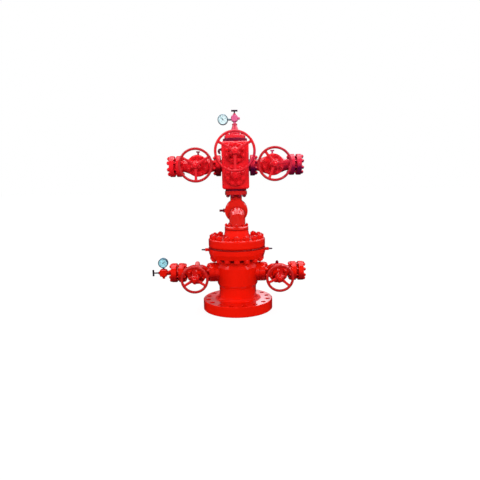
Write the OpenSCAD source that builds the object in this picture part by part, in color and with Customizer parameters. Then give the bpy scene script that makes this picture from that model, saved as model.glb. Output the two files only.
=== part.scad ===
// Water injection wellhead with its valve tree: a tubing head on its base flange, two side valves,
// a tubing head adapter, an elbow and check body, and a block tree with two wing valves.
// Millimetres, Z up, the well axis on Z, the underside of the base flange at Z = 0.
// X runs along the arms, and the handwheels face -Y.

/* [Base flange] */
// Outside diameter of the base flange
base_od = 545; // [500:5:600]
// Thickness of the base flange
base_t = 78; // [60:2:90]
// Distance from the bolt circle of the base flange to its rim
base_edge = 37.5; // [26:0.5:44]
// Bolt hole in the base flange
base_hole_d = 39; // [20:1:44]
// Number of bolt holes in the base flange
base_holes = 16; // [8:4:20]
// Radius of the fillet between the base flange and the neck
base_fillet = 26; // [10:2:34]

/* [Tubing head] */
// Bore of the tubing head
well_bore_d = 228; // [180:2:250]
// Outside diameter of the neck over the base flange
neck_od = 290; // [270:2:304]
// Height of the neck over the base flange
neck_h = 102; // [60:2:130]
// Height of the shoulder between the neck and the body
shoulder_h = 24; // [10:2:40]
// Outside diameter of the body
body_od = 316; // [306:2:340]
// Height of the straight part of the body
body_h = 132; // [100:2:170]
// Outside diameter of the throat under the top flange
throat_od = 294; // [270:2:300]
// Height of the throat under the top flange
throat_h = 54; // [30:2:80]
// Outside diameter of the head flanges
head_od = 440; // [400:5:480]
// Thickness of the tubing head's top flange
head_t = 74; // [50:2:90]
// Width of the taper under the tubing head's top flange
head_taper_w = 12; // [4:1:16]
// Height of the taper under the tubing head's top flange
head_taper_h = 34; // [20:1:44]
// Height of the side outlets over the neck's top end
outlet_rise = 108; // [80:2:120]
// Outside diameter of the round pads of the side outlets
outlet_pad_od = 150; // [120:2:170]
// Distance of the pads' faces from the well axis
outlet_face = 172; // [168:1:200]
// Bore of the side outlets and the lower arms
outlet_bore_d = 52; // [30:1:60]

/* [Lockdown screws] */
// Diameter of the gland of a lockdown screw
gland_od = 26; // [16:1:34]
// Length of the gland outside the flange
gland_len = 30; // [16:1:40]
// Diameter of a lockdown screw
lock_d = 15; // [8:1:16]
// Length of the screw outside its gland
lock_len = 27; // [10:1:40]
// Depth of the screws' axis under the head joint
lock_drop = 20; // [18:1:40]
// Depth of the flat facing in the flange under each gland
lock_facing = 1.5; // [1:0.5:3]
// Extra width of that facing around the gland
facing_margin = 6; // [2:1:10]

/* [Head adapter] */
// Thickness of the adapter's flange
adapter_t = 72; // [50:2:90]
// Radius of the adapter flange's lower rim
adapter_low_r = 20; // [6:1:24]
// Radius of the adapter flange's upper rim
adapter_top_r = 12; // [4:1:20]
// Diameter of the adapter's hub over the flange
hub_od = 206; // [190:2:230]
// Diameter of the adapter's hub at its top end
hub_top_od = 182; // [176:2:184]
// Height of the adapter's hub
hub_h = 62; // [40:2:90]
// Height of the straight step at the hub's top end
hub_step = 6; // [3:1:10]

/* [Elbow] */
// Outside diameter of the elbow's flange
elbow_flange_od = 184; // [176:2:188]
// Thickness of the elbow's flange
elbow_flange_t = 30; // [20:1:40]
// Bevel of the elbow flange's rims
elbow_bevel = 6; // [2:1:9]
// Outside diameter of the elbow
leg_od = 124; // [110:2:130]
// Height of the elbow's run over the flange
elbow_rise = 79; // [76:1:110]
// Radius of the elbow's bend, on its centre line
bend_r = 66; // [65:1:74]
// Sideways offset of the elbow's pipe from its flange
leg_shift = 7; // [0:1:10]

/* [Check body] */
// Set-back of the tree behind the well axis
tree_back = 160; // [150:2:200]
// Outside diameter of the round check body
drum_od = 182; // [160:2:200]
// Length of the round check body
drum_len = 150; // [120:2:170]
// Bevel of the check body's rims
drum_bevel = 9; // [3:1:14]
// Height of the drum's axis over the elbow's run
drum_rise = 29; // [0:1:40]
// Outside diameter of the neck between the check body and the tree flange
drum_neck_od = 94; // [80:2:120]
// Height of that neck over the check body
drum_neck_h = 34; // [20:1:60]
// Diameter of the check body's spindle
spindle_d = 18; // [10:1:24]
// Diameter of the spindle's boss and nut
spindle_boss_d = 32; // [28:1:40]
// Height of the spindle's nut
spindle_nut = 8; // [4:1:14]
// Length of the spindle outside its boss
spindle_len = 38; // [20:1:60]
// Height of the spindle's boss over the drum
spindle_boss = 8; // [4:1:12]

/* [Valve block] */
// Outside diameter of the flange under the block
tree_flange_od = 178; // [160:2:200]
// Thickness of the flange under the block
tree_flange_t = 32; // [20:1:44]
// Gap between that flange and the foot of the block
tree_gap = 6; // [4:1:12]
// Gap that the ring gasket leaves between two flanges
ring_gap = 16; // [8:1:20]
// Outside diameter of the ring gaskets
ring_od = 96; // [86:1:100]
// Width of the block across X and Y
block_w = 212; // [200:2:230]
// Height of the block
block_h = 368; // [360:2:400]
// Bevel of the block's upright edges
block_bevel = 14; // [4:1:24]
// Bevel of the block's edges at both ends
block_end_bevel = 12; // [4:1:20]
// Diameter of the round foot under the block
block_foot_od = 168; // [150:2:180]
// Height of the round foot under the block
block_foot_h = 10; // [6:1:16]
// Height of the arms' axis over the block's underside
arm_rise = 185; // [170:1:200]
// Height of the lower bonnet over the block's underside
block_bonnet_low = 105; // [96:1:110]
// Height of the upper bonnet over the block's underside
block_bonnet_high = 278; // [270:1:282]
// Diameter of the block's bonnets
block_bonnet_od = 160; // [150:1:166]
// Thickness of the flanges of the block's bonnets
block_bonnet_t = 30; // [20:1:40]
// Diameter of the upper bonnet's neck at its flange
block_neck_od = 96; // [84:1:100]
// Diameter of the cap on the lower bonnet
low_cap_od = 54; // [44:1:70]
// Height of the cap on the lower bonnet
low_cap_h = 34; // [24:1:44]
// Bevel of that cap's rims
low_cap_bevel = 7; // [3:1:10]
// Height of the cone around that cap
low_cap_foot_h = 14; // [8:1:20]
// Diameter of the bleed fitting on the block's left side
bleed_d = 17; // [10:1:20]
// Width of the bleed fitting's nut
bleed_nut_d = 28; // [22:1:34]
// Distance of the bleed fitting's outlet from the block
bleed_out = 24; // [20:1:30]
// Length of the bleed fitting's outlet leg
bleed_leg = 28; // [24:1:34]
// Height of the bleed fitting over the upper bonnet's axis
bleed_rise = 34; // [30:1:50]
// Distance of the centre handwheel from the tree's axis
centre_wheel_out = 290; // [270:2:320]

/* [Upper arms] */
// Outside diameter of the upper arms' flanges
up_flange_od = 165; // [150:1:180]
// Thickness of the upper arms' flanges
up_flange_t = 38; // [24:1:40]
// Gap between the block and the inner flange
up_block_gap = 11; // [8:1:16]
// Length of an upper valve over its two flanges
up_valve_len = 350; // [334:1:380]
// Distance of an upper valve's stem from its inner face
up_stem_in = 177; // [160:1:190]
// Diameter of an upper valve's belly
up_body_od = 140; // [120:1:150]
// Diameter of an upper valve's end necks
up_neck_od = 88; // [80:1:100]
// Diameter of an upper valve's bonnet flange
up_bonnet_od = 168; // [150:1:170]
// Distance of an upper handwheel from the arm's axis
up_wheel_out = 230; // [220:2:260]
// Bore of the upper arms' outlets
up_bore_d = 52; // [30:1:60]
// Half the length of a valve's belly along the arm
belly_half = 34; // [20:1:46]
// Length of a valve's straight neck beside a flange
neck_straight = 6; // [2:1:16]
// Inset of a valve's barrel inside its belly
barrel_inset = 4; // [2:1:8]
// Thickness of the flange on a valve's barrel
seat_t = 24; // [16:1:30]
// Height of the cone under that flange
seat_cone = 12; // [4:1:16]
// Height of the vent fittings on the valves
vent_h = 42; // [34:1:50]
// Diameter of a vent fitting's stem
vent_stem_d = 14; // [10:1:18]
// Width of a vent fitting's hexagon foot
vent_hex_d = 26; // [20:1:32]
// Height of a vent fitting's hexagon foot
vent_hex_h = 17; // [12:1:22]
// Height of the head on the lower right valve's plug
plug_head_h = 5; // [3:1:9]
// Length of a vent fitting's cross bar
vent_bar_len = 30; // [22:1:40]
// Diameter of a vent fitting's cross bar
vent_bar_d = 12; // [8:1:16]

/* [Lower arms] */
// Outside diameter of the lower arms' flanges
low_flange_od = 150; // [130:1:165]
// Thickness of the lower arms' inner flanges
low_inner_t = 46; // [24:1:50]
// Thickness of the lower arms' outer flanges
low_flange_t = 41; // [24:1:48]
// Length of a lower valve over its two flanges
low_valve_len = 286; // [270:1:320]
// Distance of a lower valve's stem from its inner face
low_stem_in = 140; // [130:1:160]
// Diameter of a lower valve's belly
low_body_od = 120; // [110:1:130]
// Diameter of a lower valve's end necks
low_neck_od = 80; // [76:1:96]
// Diameter of a lower valve's bonnet flange
low_bonnet_od = 140; // [130:1:150]
// Distance of a lower handwheel from the arm's axis
low_wheel_out = 235; // [220:2:260]
// Height of the relief knob on the lower left valve
knob_h = 26; // [16:1:36]
// Diameter of the relief knob
knob_d = 38; // [24:1:46]

/* [Flange rims] */
// Bevel of the rims of flanges and hubs
rim_bevel = 3; // [1:0.5:4]

/* [Valve bosses] */
// Diameter of the flat boss on top of each valve
boss_d = 36; // [30:1:46]
// Height of that boss over the valve's body
boss_h = 5; // [3:1:10]
// Distance of the boss from the arm's axis, towards the handwheel
boss_out = 10; // [0:1:20]

/* [Bonnets] */
// Thickness of the arm valves' bonnet flanges
bonnet_t = 26; // [16:1:34]
// Distance of an arm valve's bonnet joint from its axis
bonnet_seat = 76; // [74:1:84]
// Diameter of a bonnet's neck at its flange
bonnet_neck_od = 84; // [76:1:92]
// Height of a bonnet's straight neck
bonnet_neck_h = 10; // [4:1:16]
// Diameter of a bonnet's bearing housing
housing_od = 60; // [50:1:70]
// Length of a bonnet's bearing housing
housing_len = 44; // [30:1:50]
// Diameter of the valve stems
stem_d = 26; // [18:1:32]
// Length of stem that stands between the housing and the handwheel's hub
stem_show = 12; // [6:1:30]
// Length of stem inside the housing
stem_in = 30; // [16:1:34]
// Running clearance around a stem, on the radius
stem_gap = 0.3; // [0.1:0.1:0.6]
// Length of stem that stands proud of the handwheel's hub
stem_tip = 22; // [18:1:30]

/* [Handwheels] */
// Outside radius of the centre handwheel
centre_wheel_r = 152; // [130:1:170]
// Outside radius of the upper handwheels
up_wheel_r = 129; // [116:1:150]
// Outside radius of the lower handwheels
low_wheel_r = 103; // [90:1:112]
// Radius of the round bar of a handwheel's rim
rim_bar_r = 10; // [6:0.5:12]
// Outside diameter of a handwheel's hub
wheel_hub_od = 54; // [44:1:64]
// Length of a handwheel's hub
wheel_hub_len = 34; // [24:1:40]
// Width of the nut on a handwheel's hub
hub_nut_d = 42; // [36:1:48]
// Height of the nut on a handwheel's hub
hub_nut_h = 14; // [8:1:16]
// Width of a spoke at the hub
spoke_root_w = 28; // [18:1:32]
// Width of a spoke at the rim
spoke_tip_w = 20; // [10:1:24]
// Thickness of a spoke
spoke_t = 12; // [8:1:16]
// Thickness of the rib behind a spoke
spoke_rib_t = 8; // [5:1:12]
// Height of the rib behind a spoke, at the hub
spoke_rib_h = 15; // [12:1:16]
// Depth that a spoke's root runs into the hub
spoke_sink = 8; // [4:1:12]
// Distance that the rim stands proud of the hub's middle
wheel_dish = 14; // [0:1:20]
// Turn of the centre handwheel as it stands
centre_turn = -90; // [-180:5:180]
// Turn of the upper left handwheel as it stands
up_left_turn = -90; // [-180:5:180]
// Turn of the upper right handwheel as it stands
up_right_turn = -112; // [-180:1:180]
// Turn of the lower left handwheel as it stands
low_left_turn = 90; // [-180:5:180]
// Turn of the lower right handwheel as it stands
low_right_turn = 80; // [-180:5:180]

/* [Tree cap] */
// Outside diameter of the round boss on the block
cap_boss_od = 190; // [170:2:200]
// Height of the round boss on the block
cap_boss_h = 17; // [6:1:20]
// Gap between that boss and the cap flange
cap_gap = 8; // [4:1:16]
// Outside diameter of the cap flange
cap_od = 166; // [150:1:170]
// Thickness of the cap flange
cap_t = 26; // [20:1:44]
// Diameter of the cap flange's hub
cap_hub_od = 90; // [80:1:96]
// Diameter of the cap flange's hub at its top end
cap_hub_top_od = 74; // [66:1:80]
// Height of the cap flange's hub
cap_hub_h = 36; // [24:1:40]
// Diameter of the nipple at its foot
nipple_foot_d = 64; // [50:1:66]
// Diameter of the nipple under its collar
nipple_top_d = 34; // [26:1:44]
// Height of the nipple's cone
nipple_h = 42; // [30:1:60]
// Width that the nipple's collar stands out
collar_lip = 4; // [2:1:6]
// Height of the nipple's collar
collar_h = 12; // [6:1:20]

/* [Needle valves and gauges] */
// Width of the top needle valve's body across its flats
top_needle_w = 56; // [44:1:64]
// Width of the side needle valve's body across its flats
side_needle_w = 64; // [44:1:70]
// Depth of a needle valve's body
needle_depth = 44; // [30:1:50]
// Cut of the corners of a needle valve's body
needle_cut = 11; // [4:1:12]
// Length of thread neck between a needle valve and what it stands on
needle_neck = 12; // [8:1:30]
// Diameter of a needle valve's necks
needle_neck_d = 26; // [20:1:30]
// Length of a needle valve's gland
needle_gland = 10; // [6:1:20]
// Diameter of a needle valve's stem
needle_stem_d = 12; // [8:1:14]
// Length of stem between the gland and the handle
needle_stem_show = 13; // [6:1:20]
// Length of that stem on the side needle valve
side_stem_show = 31; // [20:1:44]
// Depth of a needle valve's bore for its stem
needle_stem_in = 16; // [10:1:20]
// Gap under the stem in that bore
needle_stem_off = 2; // [1:0.5:4]
// Length of a T-handle's bar
tbar_len = 50; // [36:1:70]
// Diameter of a T-handle's bar
tbar_d = 16; // [14:1:20]
// Length of the plug on a needle valve
plug_len = 14; // [8:1:20]
// Width of that plug
plug_d = 22; // [16:1:26]
// Outside diameter of the gauge on the top
top_gauge_od = 82; // [70:1:100]
// Outside diameter of the gauge on the side
side_gauge_od = 77; // [70:1:100]
// Depth of a gauge's case
gauge_depth = 34; // [24:1:44]
// Width of a gauge's bezel
bezel_w = 6; // [4:0.5:9]
// Depth of a gauge's dial under its bezel
dial_drop = 4; // [2:0.5:6]
// Distance of the top gauge's rim from its needle valve
gauge_off = 23; // [14:1:40]
// Distance of the side gauge's rim from its needle valve
side_gauge_off = 10; // [6:1:30]
// Drop of the top gauge under its needle valve's centre
gauge_sink = 8; // [0:1:9]
// Diameter of a gauge's stem
gauge_stem_d = 15; // [10:1:16]
// Length of the nipple on the lower left arm
side_nipple_len = 36; // [20:1:60]
// Diameter of the nipple on the lower left arm
side_nipple_d = 36; // [26:1:46]

/* [Hidden] */
$fn = 72;
arc_steps = 6;
past = 1;
LEFT = -1;
RIGHT = 1;
RED = [0.86, 0.09, 0.05];
PINK = [0.88, 0.36, 0.52];
DARK = [0.16, 0.13, 0.17];
TEAL = [0.35, 0.45, 0.48];
PALE = [0.80, 0.93, 0.92];

// Bolt circle, and heights up the well axis
base_pcd = base_od - 2 * base_edge;
neck_z = base_t + base_fillet;
neck_top = base_t + neck_h;
body_z = neck_top + shoulder_h;
body_top = body_z + body_h;
throat_z = body_top + shoulder_h;
head_z = throat_z + throat_h;
joint_z = head_z + head_t;
outlet_z = neck_top + outlet_rise;
adapter_top = joint_z + adapter_t;
elbow_z = adapter_top + hub_h;
run_z = elbow_z + elbow_flange_t + elbow_rise;
drum_z = run_z + drum_rise;
tree_flange_z = drum_z + drum_od / 2 + drum_neck_h;
block_z = tree_flange_z + tree_flange_t + tree_gap + block_foot_h;
block_top = block_z + block_h;
arm_z = block_z + arm_rise;
cap_z = block_top + cap_boss_h + cap_gap;
nipple_z = cap_z + cap_t + cap_hub_h;
collar_z = nipple_z + nipple_h;
top_needle_z = collar_z + collar_h + needle_neck + top_needle_w / 2;

// Places along the arms
block_side = block_w / 2;
up_face = block_side + up_block_gap;
up_centre = up_face + up_stem_in;
up_outer = up_face + up_valve_len;
up_end = up_outer + ring_gap;
low_centre = outlet_face + low_stem_in;
low_outer = outlet_face + low_valve_len;
low_end = low_outer + ring_gap;
side_nipple_x = low_end + low_flange_t;
side_needle_x = side_nipple_x + side_nipple_len + side_needle_w / 2;

// Points of an arc of radius r from angle a0 to angle a1 around [cx, cy]
function arc(cx, cy, r, a0, a1, n = arc_steps) =
    [for (i = [0 : n]) let (a = a0 + (a1 - a0) * i / n) [cx + r * cos(a), cy + r * sin(a)]];

// A square with cut corners, as wide and as high as given, standing on Y = 0
function cut_square(half, high, cut) = [
    [cut - half, 0], [half - cut, 0], [half, cut], [half, high - cut],
    [half - cut, high], [cut - half, high], [-half, high - cut], [-half, cut]
];

// A disc of radius r and thickness t with both rims bevelled by b
module bevelled_disc(r, t, b = rim_bevel) {
    rotate_extrude()
        polygon([[0, 0], [r - b, 0], [r, b], [r, t - b], [r - b, t], [0, t]]);
}

// Turns a valve's own frame, with its bore on X and its stem on Z, to face the front
module facing_front(x, y, z) {
    translate([x, y, z])
        rotate([90, 0, 0])
            children();
}

// Turns a piece that stands on Z so that it points outwards along X, on the given side
module outwards(side, x, y, z) {
    translate([side * x, y, z])
        rotate([0, side * 90, 0])
            children();
}

// The well's bore from one height to another
module well_bore(from, to) {
    translate([0, 0, from - past])
        cylinder(h = to - from + 2 * past, d = well_bore_d);
}

module base_flange() {
    color(RED)
    difference() {
        rotate_extrude()
            polygon(concat(
                [[0, 0], [base_od / 2 - rim_bevel, 0], [base_od / 2, rim_bevel]],
                [[base_od / 2, base_t - rim_bevel], [base_od / 2 - rim_bevel, base_t]],
                arc(neck_od / 2 + base_fillet, base_t + base_fillet, base_fillet, 270, 180),
                [[0, neck_z]]
            ));
        well_bore(0, neck_z);
        for (i = [0 : base_holes - 1])
            rotate([0, 0, (i + 0.5) * 360 / base_holes])
                translate([base_pcd / 2, 0, -past])
                    cylinder(h = base_t + 2 * past, d = base_hole_d);
    }
}

module tubing_head_spool() {
    color(RED)
    difference() {
        union() {
            rotate_extrude()
                polygon([
                    [0, neck_z], [neck_od / 2, neck_z], [neck_od / 2, neck_top],
                    [body_od / 2, body_z], [body_od / 2, body_top],
                    [throat_od / 2, throat_z], [throat_od / 2, head_z], [0, head_z]
                ]);
            for (side = [LEFT, RIGHT])
                outwards(side, 0, 0, outlet_z)
                    cylinder(h = outlet_face, d = outlet_pad_od);
        }
        well_bore(neck_z, head_z);
        for (side = [LEFT, RIGHT])
            outwards(side, 0, 0, outlet_z)
                cylinder(h = outlet_face + past, d = outlet_bore_d);
    }
}

module head_flange() {
    color(RED)
    difference() {
        rotate_extrude()
            polygon([
                [0, head_z], [head_od / 2 - head_taper_w, head_z], [head_od / 2, head_z + head_taper_h],
                [head_od / 2, joint_z - rim_bevel], [head_od / 2 - rim_bevel, joint_z], [0, joint_z]
            ]);
        well_bore(head_z, joint_z);
        for (side = [LEFT, RIGHT])
            outwards(side, head_od / 2 - lock_facing, 0, joint_z - lock_drop)
                cylinder(h = lock_facing + past, d = gland_od + facing_margin);
    }
}

module lockdown_screws() {
    color(DARK)
    for (side = [LEFT, RIGHT])
        outwards(side, head_od / 2 - lock_facing, 0, joint_z - lock_drop) {
            cylinder(h = gland_len + lock_facing, d = gland_od);
            cylinder(h = gland_len + lock_facing + lock_len, d = lock_d);
        }
}

module head_adapter() {
    color(RED)
    translate([0, 0, joint_z])
        rotate_extrude()
            polygon(concat(
                [[0, 0]],
                arc(head_od / 2 - adapter_low_r, adapter_low_r, adapter_low_r, 270, 360),
                arc(head_od / 2 - adapter_top_r, adapter_t - adapter_top_r, adapter_top_r, 0, 90),
                [[hub_od / 2, adapter_t], [hub_top_od / 2, adapter_t + hub_h - hub_step]],
                [[elbow_flange_od / 2, adapter_t + hub_h - hub_step], [elbow_flange_od / 2, adapter_t + hub_h]],
                [[0, adapter_t + hub_h]]
            ));
}

module elbow() {
    color(RED) {
        translate([0, 0, elbow_z])
            bevelled_disc(elbow_flange_od / 2, elbow_flange_t, elbow_bevel);
        translate([leg_shift, 0, elbow_z + elbow_flange_t]) {
            cylinder(h = elbow_rise - bend_r, d = leg_od);
            translate([0, bend_r, elbow_rise - bend_r])
                rotate([90, 0, -90])
                    rotate_extrude(angle = 90)
                        translate([bend_r, 0])
                            circle(d = leg_od);
        }
        translate([leg_shift, bend_r, run_z])
            rotate([-90, 0, 0])
                cylinder(h = tree_back - drum_len / 2 - bend_r, d = leg_od);
    }
}

module check_body() {
    color(RED) {
        translate([0, tree_back + drum_len / 2, drum_z])
            rotate([90, 0, 0])
                bevelled_disc(drum_od / 2, drum_len, drum_bevel);
        translate([0, tree_back, drum_z])
            cylinder(h = tree_flange_z - drum_z + past, d = drum_neck_od);
        translate([0, tree_back, tree_flange_z])
            bevelled_disc(tree_flange_od / 2, tree_flange_t);
        translate([0, tree_back, tree_flange_z + tree_flange_t - past])
            cylinder(h = tree_gap + past, d = ring_od);
        outwards(LEFT, 0, tree_back, drum_z)
            cylinder(h = drum_od / 2 + spindle_boss, d = spindle_boss_d);
    }
}

module check_spindle() {
    color(DARK)
    outwards(LEFT, drum_od / 2 + spindle_boss, tree_back, drum_z) {
        cylinder(h = spindle_len, d = spindle_d);
        cylinder(h = spindle_nut, d = spindle_boss_d, $fn = 6);
    }
}

module valve_block() {
    half = block_w / 2;
    cut = half - block_bevel;
    color(RED)
    translate([0, tree_back, block_z]) {
        intersection() {
            linear_extrude(height = block_h)
                polygon([
                    [half, -cut], [half, cut], [cut, half], [-cut, half],
                    [-half, cut], [-half, -cut], [-cut, -half], [cut, -half]
                ]);
            translate([0, half + past, 0])
                rotate([90, 0, 0])
                    linear_extrude(height = block_w + 2 * past)
                        polygon(cut_square(half, block_h, block_end_bevel));
            translate([-half - past, 0, 0])
                rotate([90, 0, 90])
                    linear_extrude(height = block_w + 2 * past)
                        polygon(cut_square(half, block_h, block_end_bevel));
        }
        translate([0, 0, block_h - block_end_bevel])
            cylinder(h = block_end_bevel + cap_boss_h, d = cap_boss_od);
        translate([0, 0, -block_foot_h])
            cylinder(h = block_foot_h + block_end_bevel, d = block_foot_od);
    }
}

// A bonnet in a valve's own frame: its flange, a cone, the bearing housing and the stem's bore
module bonnet(seat, flange_od, flange_t, neck_d, wheel_out) {
    housing_top = wheel_out - wheel_hub_len / 2 - stem_show;
    color(RED)
    difference() {
        union() {
            translate([0, 0, seat])
                bevelled_disc(flange_od / 2, flange_t);
            rotate_extrude()
                polygon([
                    [0, seat + flange_t], [neck_d / 2, seat + flange_t],
                    [neck_d / 2, seat + flange_t + bonnet_neck_h],
                    [housing_od / 2, housing_top - housing_len],
                    [housing_od / 2, housing_top - rim_bevel], [housing_od / 2 - rim_bevel, housing_top],
                    [0, housing_top]
                ]);
        }
        translate([0, 0, housing_top - stem_in - past])
            cylinder(h = stem_in + 2 * past, r = stem_d / 2 + stem_gap);
    }
}

// A bar that tapers from the hub to the rim, with a rib behind it, in a wheel's own frame
module spoke(rim_r) {
    from = wheel_hub_od / 2 - spoke_sink;
    to = rim_r - rim_bar_r;
    tilt = atan(wheel_dish / (to - from));
    rotate([0, -tilt, 0])
        translate([from, 0, -spoke_t / 2]) {
            linear_extrude(height = spoke_t)
                polygon([
                    [0, -spoke_root_w / 2], [(to - from) / 3, -spoke_tip_w / 2], [to - from, -spoke_tip_w / 2],
                    [to - from, spoke_tip_w / 2], [(to - from) / 3, spoke_tip_w / 2], [0, spoke_root_w / 2]
                ]);
            translate([0, spoke_rib_t / 2, spoke_t / 2])
                rotate([90, 0, 0])
                    linear_extrude(height = spoke_rib_t)
                        polygon([[0, 0], [to - from, 0], [to - from, -spoke_t / 2], [0, -spoke_rib_h]]);
        }
}

// A handwheel with its stem and nut, in a valve's own frame, its first spoke turned by the given angle
module handwheel(rim_r, wheel_out, turn) {
    color(RED)
    translate([0, 0, wheel_out]) {
        translate([0, 0, -wheel_hub_len / 2])
            bevelled_disc(wheel_hub_od / 2, wheel_hub_len);
        translate([0, 0, wheel_dish])
            rotate_extrude()
                translate([rim_r - rim_bar_r, 0])
                    circle(r = rim_bar_r);
        for (i = [0 : 2])
            rotate([0, 0, turn + i * 120])
                spoke(rim_r);
        translate([0, 0, -wheel_hub_len / 2 - stem_show - stem_in])
            cylinder(h = stem_in + stem_show + wheel_hub_len + stem_tip, d = stem_d);
        translate([0, 0, wheel_hub_len / 2])
            cylinder(h = hub_nut_h, d = hub_nut_d, $fn = 6);
    }
}

module upper_bonnet() {
    facing_front(0, tree_back, block_z + block_bonnet_high)
        bonnet(block_side, block_bonnet_od, block_bonnet_t, block_neck_od, centre_wheel_out);
}

module lower_bonnet() {
    facing_front(0, tree_back, block_z + block_bonnet_low)
        color(RED) {
            translate([0, 0, block_side])
                bevelled_disc(block_bonnet_od / 2, block_bonnet_t);
            translate([0, 0, block_side + block_bonnet_t])
                cylinder(h = low_cap_foot_h, d1 = bonnet_neck_od, d2 = low_cap_od);
            translate([0, 0, block_side + block_bonnet_t])
                bevelled_disc(low_cap_od / 2, low_cap_h, low_cap_bevel);
        }
}

module centre_handwheel() {
    facing_front(0, tree_back, block_z + block_bonnet_high)
        handwheel(centre_wheel_r, centre_wheel_out, centre_turn);
}

// A hooked pipe: out of the block's side, down, and a short way back
module bleed_fitting() {
    color(DARK)
    translate([-block_side, tree_back, block_z + block_bonnet_high + bleed_rise]) {
        rotate([0, -90, 0]) {
            cylinder(h = bleed_out, d = bleed_d);
            cylinder(h = bleed_out / 3, d = bleed_nut_d, $fn = 6);
        }
        for (z = [0, -bleed_leg])
            translate([-bleed_out, 0, z])
                sphere(d = bleed_d);
        translate([-bleed_out, 0, -bleed_leg])
            cylinder(h = bleed_leg, d = bleed_d);
        translate([-bleed_out, 0, -bleed_leg])
            rotate([0, 90, 0])
                cylinder(h = bleed_out / 2, d = bleed_d);
    }
}

// A gate valve's body in its own frame, with the distances of its two faces from the stem's axis:
// a run that swells from the necks to the belly, the flanges, and the barrel with its bonnet flange
module valve_body(inner, outer, belly_od, neck_od, inner_t, outer_t, flange_od, bonnet_od) {
    barrel_r = belly_od / 2 - barrel_inset;
    color(RED) {
        translate([-inner, 0, 0])
            rotate([0, 90, 0])
                rotate_extrude()
                    polygon([
                        [0, 0], [flange_od / 2 - rim_bevel, 0], [flange_od / 2, rim_bevel],
                        [flange_od / 2, inner_t - rim_bevel], [flange_od / 2 - rim_bevel, inner_t],
                        [neck_od / 2, inner_t], [neck_od / 2, inner_t + neck_straight],
                        [belly_od / 2, inner - belly_half], [belly_od / 2, inner + belly_half],
                        [neck_od / 2, inner + outer - outer_t - neck_straight], [neck_od / 2, inner + outer - outer_t],
                        [flange_od / 2 - rim_bevel, inner + outer - outer_t],
                        [flange_od / 2, inner + outer - outer_t + rim_bevel],
                        [flange_od / 2, inner + outer - rim_bevel], [flange_od / 2 - rim_bevel, inner + outer],
                        [0, inner + outer]
                    ]);
        rotate_extrude()
            polygon([
                [0, 0], [barrel_r, 0], [barrel_r, bonnet_seat - seat_t - seat_cone],
                [bonnet_od / 2 - rim_bevel, bonnet_seat - seat_t], [bonnet_od / 2, bonnet_seat - seat_t + rim_bevel],
                [bonnet_od / 2, bonnet_seat - rim_bevel], [bonnet_od / 2 - rim_bevel, bonnet_seat],
                [0, bonnet_seat]
            ]);
        translate([0, 0, boss_out])
            rotate([-90, 0, 0])
                cylinder(h = belly_od / 2 + boss_h, d = boss_d);
    }
}

module upper_valve(side) {
    color(RED)
    facing_front(side * up_centre, tree_back, arm_z)
        mirror([side == LEFT ? 1 : 0, 0, 0])
            valve_body(
                up_stem_in, up_valve_len - up_stem_in, up_body_od, up_neck_od,
                up_flange_t, up_flange_t, up_flange_od, up_bonnet_od
            );
    color(RED)
    outwards(side, block_side, tree_back, arm_z)
        cylinder(h = up_block_gap, d = ring_od);
}

module lower_valve(side) {
    color(RED)
    facing_front(side * low_centre, 0, outlet_z)
        mirror([side == LEFT ? 1 : 0, 0, 0])
            valve_body(
                low_stem_in, low_valve_len - low_stem_in, low_body_od, low_neck_od,
                low_inner_t, low_flange_t, low_flange_od, low_bonnet_od
            );
}

// A blind flange with the ring gasket on its inner face, standing on Z
module blind_flange(od, t) {
    color(RED) {
        bevelled_disc(od / 2, t);
        translate([0, 0, -ring_gap])
            cylinder(h = ring_gap + past, d = ring_od);
    }
}

// A blind flange bored through
module companion_flange(od, t, bore_d) {
    color(RED)
    difference() {
        blind_flange(od, t);
        translate([0, 0, -ring_gap - past])
            cylinder(h = t + ring_gap + 2 * past, d = bore_d);
    }
}

// A small fitting with a hexagon foot and a cross bar on top, standing on Z
module vent_fitting() {
    color(DARK) {
        cylinder(h = vent_hex_h, d = vent_hex_d, $fn = 6);
        cylinder(h = vent_h - vent_bar_d / 2, d = vent_stem_d);
        translate([-vent_bar_len / 2, 0, vent_h - vent_bar_d / 2])
            rotate([0, 90, 0])
                cylinder(h = vent_bar_len, d = vent_bar_d);
    }
}

// A hexagon plug with a small square head, standing on Z
module hex_plug() {
    color(DARK) {
        cylinder(h = vent_hex_h, d = vent_hex_d, $fn = 6);
        cylinder(h = vent_hex_h + plug_head_h, d = vent_stem_d, $fn = 4);
    }
}

module relief_knob() {
    color(PALE)
    rotate_extrude()
        polygon(concat(
            [[0, 0], [knob_d / 2, 0]],
            arc(0, knob_h - knob_d / 2, knob_d / 2, 0, 90)
        ));
}

module cap_flange() {
    color(RED)
    translate([0, tree_back, cap_z]) {
        bevelled_disc(cap_od / 2, cap_t);
        translate([0, 0, -cap_gap])
            cylinder(h = cap_gap + past, d = ring_od);
        translate([0, 0, cap_t])
            cylinder(h = cap_hub_h, d1 = cap_hub_od, d2 = cap_hub_top_od);
    }
}

module cap_nipple() {
    color(RED)
    translate([0, tree_back, nipple_z]) {
        cylinder(h = nipple_h, d1 = nipple_foot_d, d2 = nipple_top_d);
        translate([0, 0, nipple_h])
            bevelled_disc(nipple_top_d / 2 + collar_lip, collar_h, collar_lip / 2);
    }
}

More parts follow.
